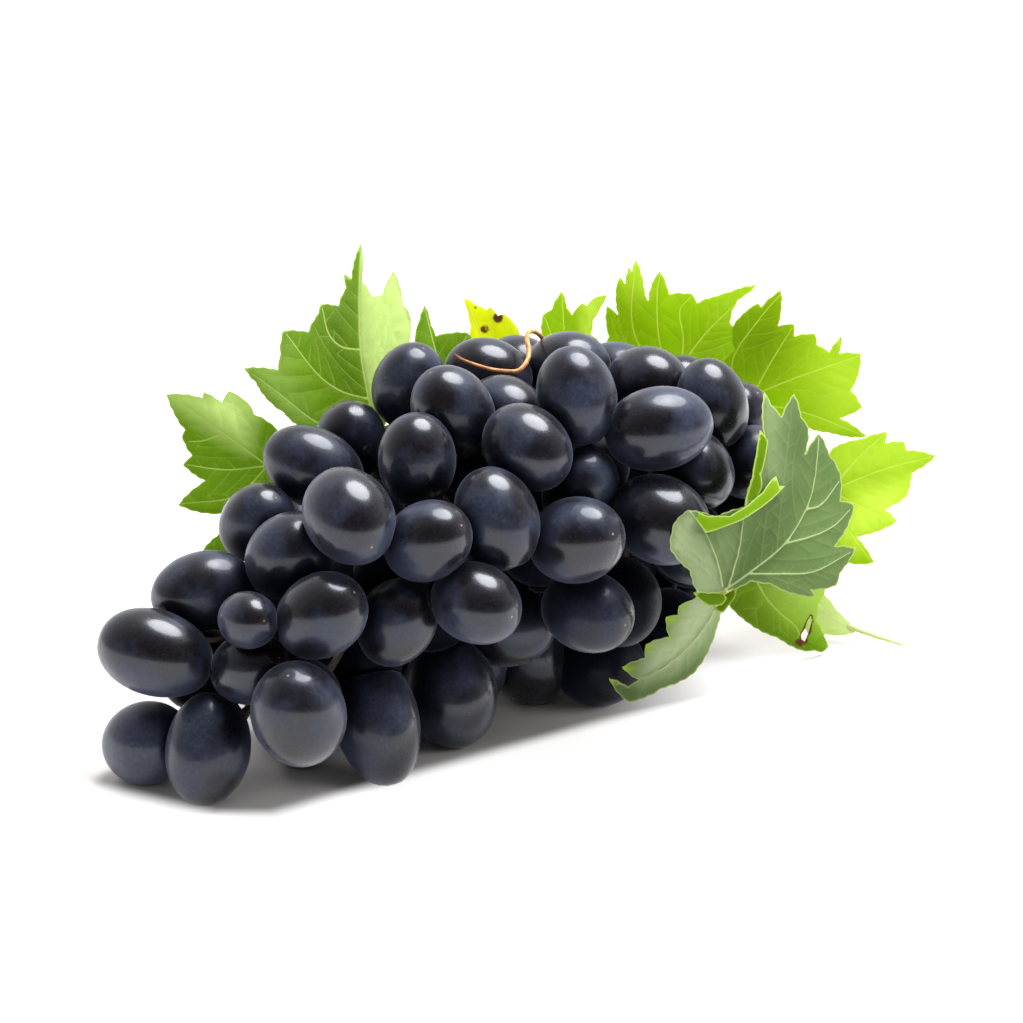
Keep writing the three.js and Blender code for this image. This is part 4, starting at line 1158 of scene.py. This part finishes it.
def blade(pile, sheet, face, seed, skins_of):
    """A sheet of a leaf as a thin closed solid, with its veins, puckers and marks."""
    flat = to_flat(sheet, sheet["edge"])
    area = np.sum(flat[:, 0] * np.roll(flat[:, 1], -1) - np.roll(flat[:, 0], -1) * flat[:, 1])
    if area < 0:
        flat = flat[::-1]
    rim = rounded_edge(flat, bool(sheet["veins"]))
    rim_a, rim_b = rim, np.roll(rim, -1, axis=0)
    draw = seeded_draw(seed)

    def clear_of_rim(line):
        return line[inside(line, rim) & (gap_to(line, rim_a, rim_b) > 0.3)]

    def drawn(key):
        lines = [clear_of_rim(bent(to_flat(sheet, line))) for line in sheet.get(key, [])]
        return [line for line in lines if len(line) > 2]

    mains = drawn("veins")
    faint = drawn("faint")
    sides = faint + branch_veins(mains + faint, rim, draw) if mains else []
    main_a, main_b, main_w = segments(mains, *MAIN_VEIN)
    side_a, side_b, side_w = segments(sides, *SIDE_VEIN)
    starts, ends = np.vstack([main_a, side_a]), np.vstack([main_b, side_b])
    holes = [to_flat(sheet, hole) for hole in sheet.get("holes", [])]

    points = [Vector(p) for p in rim]
    edges = []
    for line in mains + sides:
        first = len(points)
        points.extend(Vector(p) for p in line)
        edges.extend((first + k, first + k + 1) for k in range(len(line) - 1))
    for hole in holes:
        first = len(points)
        points.extend(Vector(p) for p in hole)
        edges.extend((first + k, first + (k + 1) % len(hole)) for k in range(len(hole)))
    low, high = rim.min(axis=0), rim.max(axis=0)
    grid = []
    for r, y in enumerate(np.arange(low[1], high[1], BLADE_STEP * 0.866)):
        for x in np.arange(low[0] + (r % 2) * BLADE_STEP / 2, high[0], BLADE_STEP):
            grid.append((x + 0.12 * (next(draw) - 0.5), y + 0.12 * (next(draw) - 0.5)))
    grid = np.array(grid)
    grid = grid[gap_to(grid, starts, ends) > 0.7]
    beside = [flanks(line, 0.5) for line in mains] + [flanks(line, 0.36) for line in sides]
    beside = np.vstack(beside + [grid[:1]])
    beside = beside[gap_to(beside, starts, ends) > 0.3]
    grid = np.vstack([grid, beside])
    grid = grid[inside(grid, rim)]
    grid = grid[gap_to(grid, rim_a, rim_b) > 0.45]
    points.extend(Vector(p) for p in grid)
    placed, _, triangles, _, _, _ = delaunay_2d_cdt(points, edges, [list(range(len(rim)))], 1, 1e-4)
    xy = np.array([(p.x, p.y) for p in placed])
    middles = np.array([xy[list(t)].mean(axis=0) for t in triangles])
    keep = inside(middles, rim)
    for hole in holes:
        keep &= ~inside(middles, hole)
    triangles = [t for t, k in zip(triangles, keep) if k]
    used = sorted({i for t in triangles for i in t})
    renumber = {old: new for new, old in enumerate(used)}
    triangles = [tuple(renumber[i] for i in t) for t in triangles]
    xy = xy[used]

    off_main = off_lines(xy, main_a, main_b)
    off_side = off_lines(xy, side_a, side_b)
    near = np.minimum(np.min(off_main, axis=1), np.min(off_side, axis=1) + 0.4)
    vein = np.minimum(np.min(off_main / main_w, axis=1), FAR_OFF)
    twig = np.minimum(np.min(off_side / side_w, axis=1), FAR_OFF)
    border = gap_to(xy, rim_a, rim_b)
    spot, glow, pale, dim = np.zeros((4, len(xy)))
    for hole in holes:
        off = gap_to(xy, hole, np.roll(hole, -1, axis=0))
        border = np.minimum(border, off + 0.3)
        spot = np.maximum(spot, np.clip(0.95 - off / 0.6, 0, 1))
    across = sheet["hub"][0] + xy[:, 0] / PIXEL
    down = sheet["hub"][1] - xy[:, 1] / PIXEL
    # Spots are brown marks and hole edges; glow, pale and dim carry painted light and shade.
    for mark, key in ((spot, "spots"), (glow, "glow")):
        for cx, cy, rx, ry, amount in sheet.get(key, []):
            r2 = ((across - cx) / rx) ** 2 + ((down - cy) / ry) ** 2
            np.maximum(mark, amount * np.exp(-r2 * 0.8), out=mark)
    for mark, key in ((pale, "pale"), (dim, "dim")):
        for outline, amount, fade in sheet.get(key, []):
            np.maximum(mark, amount * within(xy, to_flat(sheet, outline), fade), out=mark)
    pucker = sheet.get("pucker", 0.35 if mains else 0)
    extra = -face * pucker * (1 - np.exp(-(near / 1.9) ** 2)) * np.minimum(1, border / 2)
    for line, amount, reach in sheet.get("curl", []):
        line = to_flat(sheet, line)
        off = gap_to(xy, line[:-1], line[1:])
        extra = extra - amount * np.exp(-(off / reach) ** 2)
    here = blade_place(sheet, xy, extra)
    right = blade_place(sheet, xy + (0.2, 0)) - blade_place(sheet, xy)
    up = blade_place(sheet, xy + (0, 0.2)) - blade_place(sheet, xy)
    normal = np.cross(right, up)
    normal /= np.linalg.norm(normal, axis=1)[:, None]
    half = BLADE_EDGE_HALF + BLADE_MORE_HALF * np.minimum(1, border / 1.2)
    rib = (0.32 * np.exp(-vein ** 2) + 0.1 * np.exp(-twig ** 2)) * np.clip(border / 1.5, 0, 1)
    towards = here + normal * (half + (rib if face < 0 else -0.3 * rib))[:, None]
    behind = here - normal * (half + (rib if face > 0 else -0.3 * rib))[:, None]
    count = len(xy)
    faces = triangles + [(count + a, count + c, count + b) for a, b, c in triangles]
    skins = [skins_of[0]] * len(triangles) + [skins_of[1]] * len(triangles)
    links = {(p, q) for a, b, c in triangles for p, q in ((a, b), (b, c), (c, a))}
    for p, q in sorted(links):
        if (q, p) not in links:
            faces.append((p, count + p, count + q, q))
            skins.append(skins_of[0])
    both = np.vstack([towards, behind])
    both[:, 2] = np.maximum(both[:, 2], FLOOR_SINK + 0.02)
    grain = np.column_stack([xy, np.full(count, seed * 3.7)])
    marks = dict(vein=vein, twig=twig, rim=border, spot=spot, glow=glow, pale=pale, dim=dim)
    marks = {name: np.tile(value, 2) for name, value in marks.items()}
    pile.add(both, faces, skins, grain=np.vstack([grain, grain]), share=np.zeros(2 * count), **marks)


shoot_line = smooth_line(SHOOT_LINE, 161)
side_line = smooth_line(SIDE_SHOOT_LINE, 61)
upper = {key: leaf_skin("leaf_" + key, *values, 0.4) for key, values in LOOKS.items()}
under = {key: leaf_skin("leaf_%s_under" % key, *values, 1.0) for key, values in UNDER_LOOKS.items()}
under_for = {"green": "green", "lit": "green", "bright": "bright", "yellow": "bright", "pale": "bright"}
stalk_green = stalk_skin("leaf_stalk", rgb(0.36, 0.42, 0.11), rgb(0.26, 0.22, 0.07), 0.45)
stalk_pale = stalk_skin("leaf_stalk_pale", rgb(0.55, 0.66, 0.24), rgb(0.46, 0.52, 0.16), 0.45)
bark = stalk_skin("shoot_bark", rgb(0.30, 0.19, 0.085), rgb(0.13, 0.07, 0.03), 0.72)
rachis_skin = stalk_skin("rachis_skin", rgb(0.050, 0.034, 0.016), rgb(0.025, 0.015, 0.008), 0.6)

for number, leaf in enumerate(LEAVES):
    pile = Pile()
    for k, sheet in enumerate(leaf["sheets"]):
        usual = (0, 1) if leaf["face"] > 0 else (1, 0)
        facing = sheet.get("facing", leaf["face"])
        blade(pile, sheet, facing, 11 + 7 * number + 3 * k, sheet.get("skins", usual))
    sheet = leaf["sheets"][0]
    line = [blade_place(sheet, to_flat(sheet, [leaf["stalk"][0]]))[0]]
    line += [seen_place(*bend) for bend in leaf["stalk"][1:]]
    first, last = 0.6, 0.32
    if leaf["joins"] is not None:
        line.append(at_share(side_line if leaf.get("side") else shoot_line, leaf["joins"]))
        first, last = 0.75, 1.3

    def stalk_radius(share, angles):
        return STALK_RADIUS * (first + (last - first) * share) * (1 - 0.12 * np.cos(angles) ** 4)

    limb(pile, smooth_line(line, 33), stalk_radius, 14, 2)
    if leaf["face"] > 0:
        skins = [upper[leaf["look"]], under[under_for[leaf["look"]]], stalk_green]
        if leaf["joins"] is None:
            skins[2] = stalk_pale
    else:
        skins = [upper["dark"], upper[leaf["look"]], stalk_green, upper["flap"], upper["painted_backlight"]]
    pile.make(leaf["name"] + "_blade", skins, leaf["name"])


# The berries

front = settle_front()
berries = front + far_berries(front)
outer_count = len(berries)
berries = berries + inner_berries(berries)


def berry_mesh(pile, index):
    """One berry, flattened where it presses on others, with marks for its bloom and its painted shade."""
    place, axis, long, wide = berries[index]
    sides, rows = BERRY_SIDES, BERRY_ROWS
    inward = spine[np.argmin(np.linalg.norm(spine - place, axis=1))] - place
    axis = axis if axis @ inward < 0 else -axis
    helper = np.array([1.0, 0, 0]) if abs(axis[0]) < 0.8 else np.array([0, 1.0, 0])
    across = np.cross(axis, helper)
    across /= np.linalg.norm(across)
    over = np.cross(axis, across)
    polar = np.linspace(0, math.pi, rows + 1)[1:-1]
    turn = np.arange(sides) * 2 * math.pi / sides
    unit = [(0, 0, 1)]
    for p in polar:
        unit.extend(zip(math.sin(p) * np.cos(turn), math.sin(p) * np.sin(turn), [math.cos(p)] * sides))
    unit.append((0, 0, -1))
    unit = np.array(unit)
    faces = [(0, 1 + s, 1 + (s + 1) % sides) for s in range(sides)]
    for r in range(rows - 2):
        for s in range(sides):
            a = 1 + r * sides + s
            b = 1 + r * sides + (s + 1) % sides
            faces.append((a, a + sides, b + sides, b))
    last = len(unit) - 1
    faces += [(last, last - sides + (s + 1) % sides, last - sides + s) for s in range(sides)]
    draw = seeded_draw(401 + 37 * index)
    lumps = np.ones(len(unit))
    for _ in range(LUMPS):
        way = any_way(draw) * 6
        lumps += LUMP_HEIGHT * np.sin(unit @ way + 6.3 * next(draw))
    at_tip = TIP_DIMPLE[0] * np.exp(-((1 - unit[:, 2]) / TIP_DIMPLE[1]))
    at_stalk = STALK_DIMPLE[0] * np.exp(-((1 + unit[:, 2]) / STALK_DIMPLE[1]))
    lumps -= at_tip + at_stalk
    shape = unit * lumps[:, None] * (wide, wide, long)
    points = place + shape[:, 0:1] * across + shape[:, 1:2] * over + shape[:, 2:3] * axis
    for other, (o_place, o_axis, o_long, o_wide) in enumerate(berries):
        way = o_place - place
        apart = np.linalg.norm(way)
        if other == index or apart > NEIGHBOUR_REACH:
            continue
        way = way / apart
        mine = reach_along(axis, long, wide, way)
        theirs = reach_along(o_axis, o_long, o_wide, way)
        over_by = mine + theirs - apart
        if over_by > 0:
            wall = mine - over_by * mine / (mine + theirs) - 0.03
            past = (points - place) @ way - wall
            points = points - way * np.where(past > 0, past * 0.98, 0)[:, None]
    points[:, 2] = np.maximum(points[:, 2], FLOOR_SINK + 0.004 * np.arange(len(points)) % 0.02)
    shift = np.array([next(draw), next(draw), next(draw)]) * 40
    local = unit * (1, 1, long / wide) + shift
    slope = unit / (wide, wide, long)
    slope = slope[:, 0:1] * across + slope[:, 1:2] * over + slope[:, 2:3] * axis
    slope /= np.linalg.norm(slope, axis=1)[:, None]
    # Painted shade: darker where neighbouring berries close over the skin, darker still low on the right,
    # near black on inner berries.
    open_share = np.ones(len(points))
    for other, (o_place, o_axis, o_long, o_wide) in enumerate(berries):
        if other == index or np.linalg.norm(o_place - place) > NEIGHBOUR_REACH:
            continue
        way = o_place - points
        far = np.linalg.norm(way, axis=1)
        facing = np.clip(np.sum(slope * way, axis=1) / far, 0, 1)
        open_share *= 1 - np.minimum(0.95, facing * np.minimum(1, o_wide * o_long / far ** 2))
    shaded = np.clip((seen_pixel(place) - DUSK_FROM) / DUSK_OVER, 0, 1)
    dusk = DUSK_MOST * shaded[0] * shaded[1] if index < outer_count else INNER_DUSK
    # Painted shade: the side turned up and forward gets less bloom, so it reads darker.
    outward = -inward / np.linalg.norm(inward) + (0.25, -0.5, 0.5)
    outward /= np.linalg.norm(outward)
    pile.add(points, faces, 0, local=local, tip=unit[:, 2], worn=slope @ outward,
             deep=1 - open_share * (1 - dusk))


berry_pile = Pile()
for index in range(len(berries)):
    berry_mesh(berry_pile, index)
berry_pile.make("berry_skins", [berry_skin()], "berries")

# The stalk inside the bunch and the small stalks of the berries

def berry_stalk_radius(share, angles):
    return 0.85 + 0.9 * math.exp(-share * 22) + 0.2 * share


rachis = Pile()
limb(rachis, spine[RACHIS_FROM:RACHIS_TO], lambda share, angles: 1.2 + 1.5 * share, 12)
for place, axis, long, wide in berries:
    k = int(np.argmin(np.linalg.norm(spine - place, axis=1)))
    inward = spine[k] - place
    axis = axis if axis @ inward < 0 else -axis
    root = spine[min(max(k + 4, RACHIS_FROM + 1), RACHIS_TO - 1)]
    if np.linalg.norm(root - place) < wide:
        continue
    way = (root - place) / np.linalg.norm(root - place)
    base = place + way * (0.97 * reach_along(axis, long, wide, way) - 1.2)
    line = [base, base + way * 2.5 - axis * 0.8, root]
    limb(rachis, smooth_line(line, 14), berry_stalk_radius, 8)
rachis.make("rachis", [rachis_skin], "berries")

# The shoot, its side shoot, buds and cut ends

knuckles = [leaf["joins"] for leaf in LEAVES if leaf["joins"] is not None and not leaf.get("side")]


def shoot_radius(share, angles):
    swell = min(1, sum(math.exp(-((share - at) / 0.014) ** 2) for at in knuckles))
    girth_here = SHOOT_RADIUS * (0.82 + 0.18 * min(1, share / 0.3)) + SHOOT_KNUCKLE * swell
    ribs = 0.10 * np.sin(9 * angles + 3 * math.sin(share * 9)) + 0.07 * np.sin(17 * angles + share * 25)
    return girth_here + ribs - 0.12


def side_shoot_radius(share, angles):
    return SIDE_SHOOT_RADIUS * (1.25 - 0.35 * share) + 0.06 * np.sin(8 * angles)


wood = Pile()
limb(wood, shoot_line, shoot_radius, 48)
limb(wood, side_line, side_shoot_radius, 24)
for number, at in enumerate(knuckles):
    here = at_share(shoot_line, at)
    along = at_share(shoot_line, min(1, at + 0.01)) - at_share(shoot_line, at - 0.01)
    along /= np.linalg.norm(along)
    side = np.cross(along, (0, 0, 1)) * (1 if number % 2 else -1)
    side /= np.linalg.norm(side)
    line = [here + side * 2.2, here + side * 4.6 - along * 0.8, here + side * 5.6 - along * 2.4]
    limb(wood, smooth_line(line, 12), lambda share, angles: 1.7 * math.sqrt(max(0.02, 1 - share ** 2)), 12)
wood.make("shoot_wood", [bark], "shoot")

# The tendril

curl = Pile()
line = smooth_line([seen_place(*p) for p in TENDRIL_SEEN], 150)
limb(curl, line, lambda share, angles: TENDRIL_RADIUS * (0.5 + 0.3 * min(1, share * 2.2)), 14)
curl.make("tendril_curl", [tendril_skin()], "tendril")


# Floor, light and camera, in metres

FLOOR_HALF = 6.0
NEAR_GLOW = 0.8
FAR_GLOW = 0.4
SENSOR = 36.0


def floor():
    """A plain pale floor with a little light of its own, so that the shade stays close to the bunch."""
    n = Nodes("floor")
    pale = n.new("ShaderNodeBsdfDiffuse", {"Color": rgb(0.54, 0.52, 0.51)})
    place = n.new("ShaderNodeNewGeometry").outputs["Position"]
    away = n.new("ShaderNodeVectorMath", {0: place}, operation="LENGTH").outputs["Value"]
    parts = n.new("ShaderNodeSeparateXYZ", {0: place}).outputs
    x, y = parts["X"], parts["Y"]
    beside = n.times(n.span(x, 0.012, 0.055, 0.0, NEAR_GLOW), n.span(y, 0.045, 0.018))
    across = n.maths("SUBTRACT", n.times(x, 0.6), n.times(y, 0.8))
    corner = n.plus(n.times(x, -0.5), n.times(y, -0.866))
    ahead = n.maths("MAXIMUM", n.span(across, 0.0155, 0.0235), n.span(corner, 0.097, 0.105))
    ahead = n.maths("MAXIMUM", ahead, n.span(y, -0.068, -0.076))
    near = n.maths("MAXIMUM", beside, n.times(ahead, NEAR_GLOW))
    lift = n.plus(n.span(away, 0.08, 0.4, 0.0, FAR_GLOW), near)
    lift = n.new("ShaderNodeEmission", {"Color": rgb(1, 1, 1), "Strength": lift})
    both = n.new("ShaderNodeAddShader", {0: pale.outputs[0], 1: lift.outputs[0]})
    mesh = bpy.data.meshes.new("floor")
    corners = [(-FLOOR_HALF, -FLOOR_HALF, 0), (FLOOR_HALF, -FLOOR_HALF, 0),
               (FLOOR_HALF, FLOOR_HALF, 0), (-FLOOR_HALF, FLOOR_HALF, 0)]
    mesh.from_pydata(corners, [], [(0, 1, 2, 3)])
    mesh.materials.append(n.finish(both.outputs[0]))
    plane = bpy.data.objects.new("floor", mesh)
    bpy.context.scene.collection.objects.link(plane)
    plane.location.z = -0.0002


def lamp(name, place, aim, size, power, mirrored=False):
    data = bpy.data.lights.new(name, "AREA")
    data.shape = "DISK"
    data.size = size
    data.energy = power
    thing = bpy.data.objects.new(name, data)
    thing.location = place
    thing.rotation_euler = (Vector(aim) - Vector(place)).to_track_quat("-Z", "Y").to_euler()
    thing.visible_glossy = mirrored
    bpy.context.scene.collection.objects.link(thing)


floor()
lamp("overhead", (0.17, 0.10, 0.80), (0, 0, 0.04), 0.58, 14.0, True)
lamp("right", (0.9, -0.2, 0.35), (0.02, -0.02, 0.03), 0.6, 6.0)
lamp("back_right", (0.55, 0.75, 0.55), (0.03, 0.03, 0.05), 0.6, 9.0)
lamp("back_left", (-0.5, 0.7, 0.6), (-0.03, 0, 0.05), 0.5, 3.5)
lamp("front", (-0.5, -0.9, 0.5), (0, 0, 0.05), 0.7, 1.8)

world = bpy.data.worlds.new("studio")
bpy.context.scene.world = world
world.use_nodes = True
tree = world.node_tree
back = next(node for node in tree.nodes if node.type == "BACKGROUND")
way = tree.nodes.new("ShaderNodeTexCoord")
parts = tree.nodes.new("ShaderNodeSeparateXYZ")
ramp = tree.nodes.new("ShaderNodeMapRange")
tree.links.new(way.outputs["Generated"], parts.inputs[0])
tree.links.new(parts.outputs["Y"], ramp.inputs[0])
for slot, value in enumerate((-0.7, 0.6, 0.10, 1.0), start=1):
    ramp.inputs[slot].default_value = value
tree.links.new(ramp.outputs[0], back.inputs["Strength"])
back.inputs["Color"].default_value = (1, 1, 1, 1)

camera_data = bpy.data.cameras.new("camera")
camera_data.sensor_width = SENSOR
camera_data.lens = SENSOR * EYE_PIXELS / FRAME_PIXELS
camera_data.clip_start = 0.01
camera_data.clip_end = 50.0
camera = bpy.data.objects.new("camera", camera_data)
camera.location = to_row(EYE)
camera.rotation_euler = (math.pi / 2 - ELEVATION, 0, 0)
bpy.context.scene.collection.objects.link(camera)
bpy.context.scene.camera = camera
bpy.context.scene.view_settings.view_transform = "Standard"
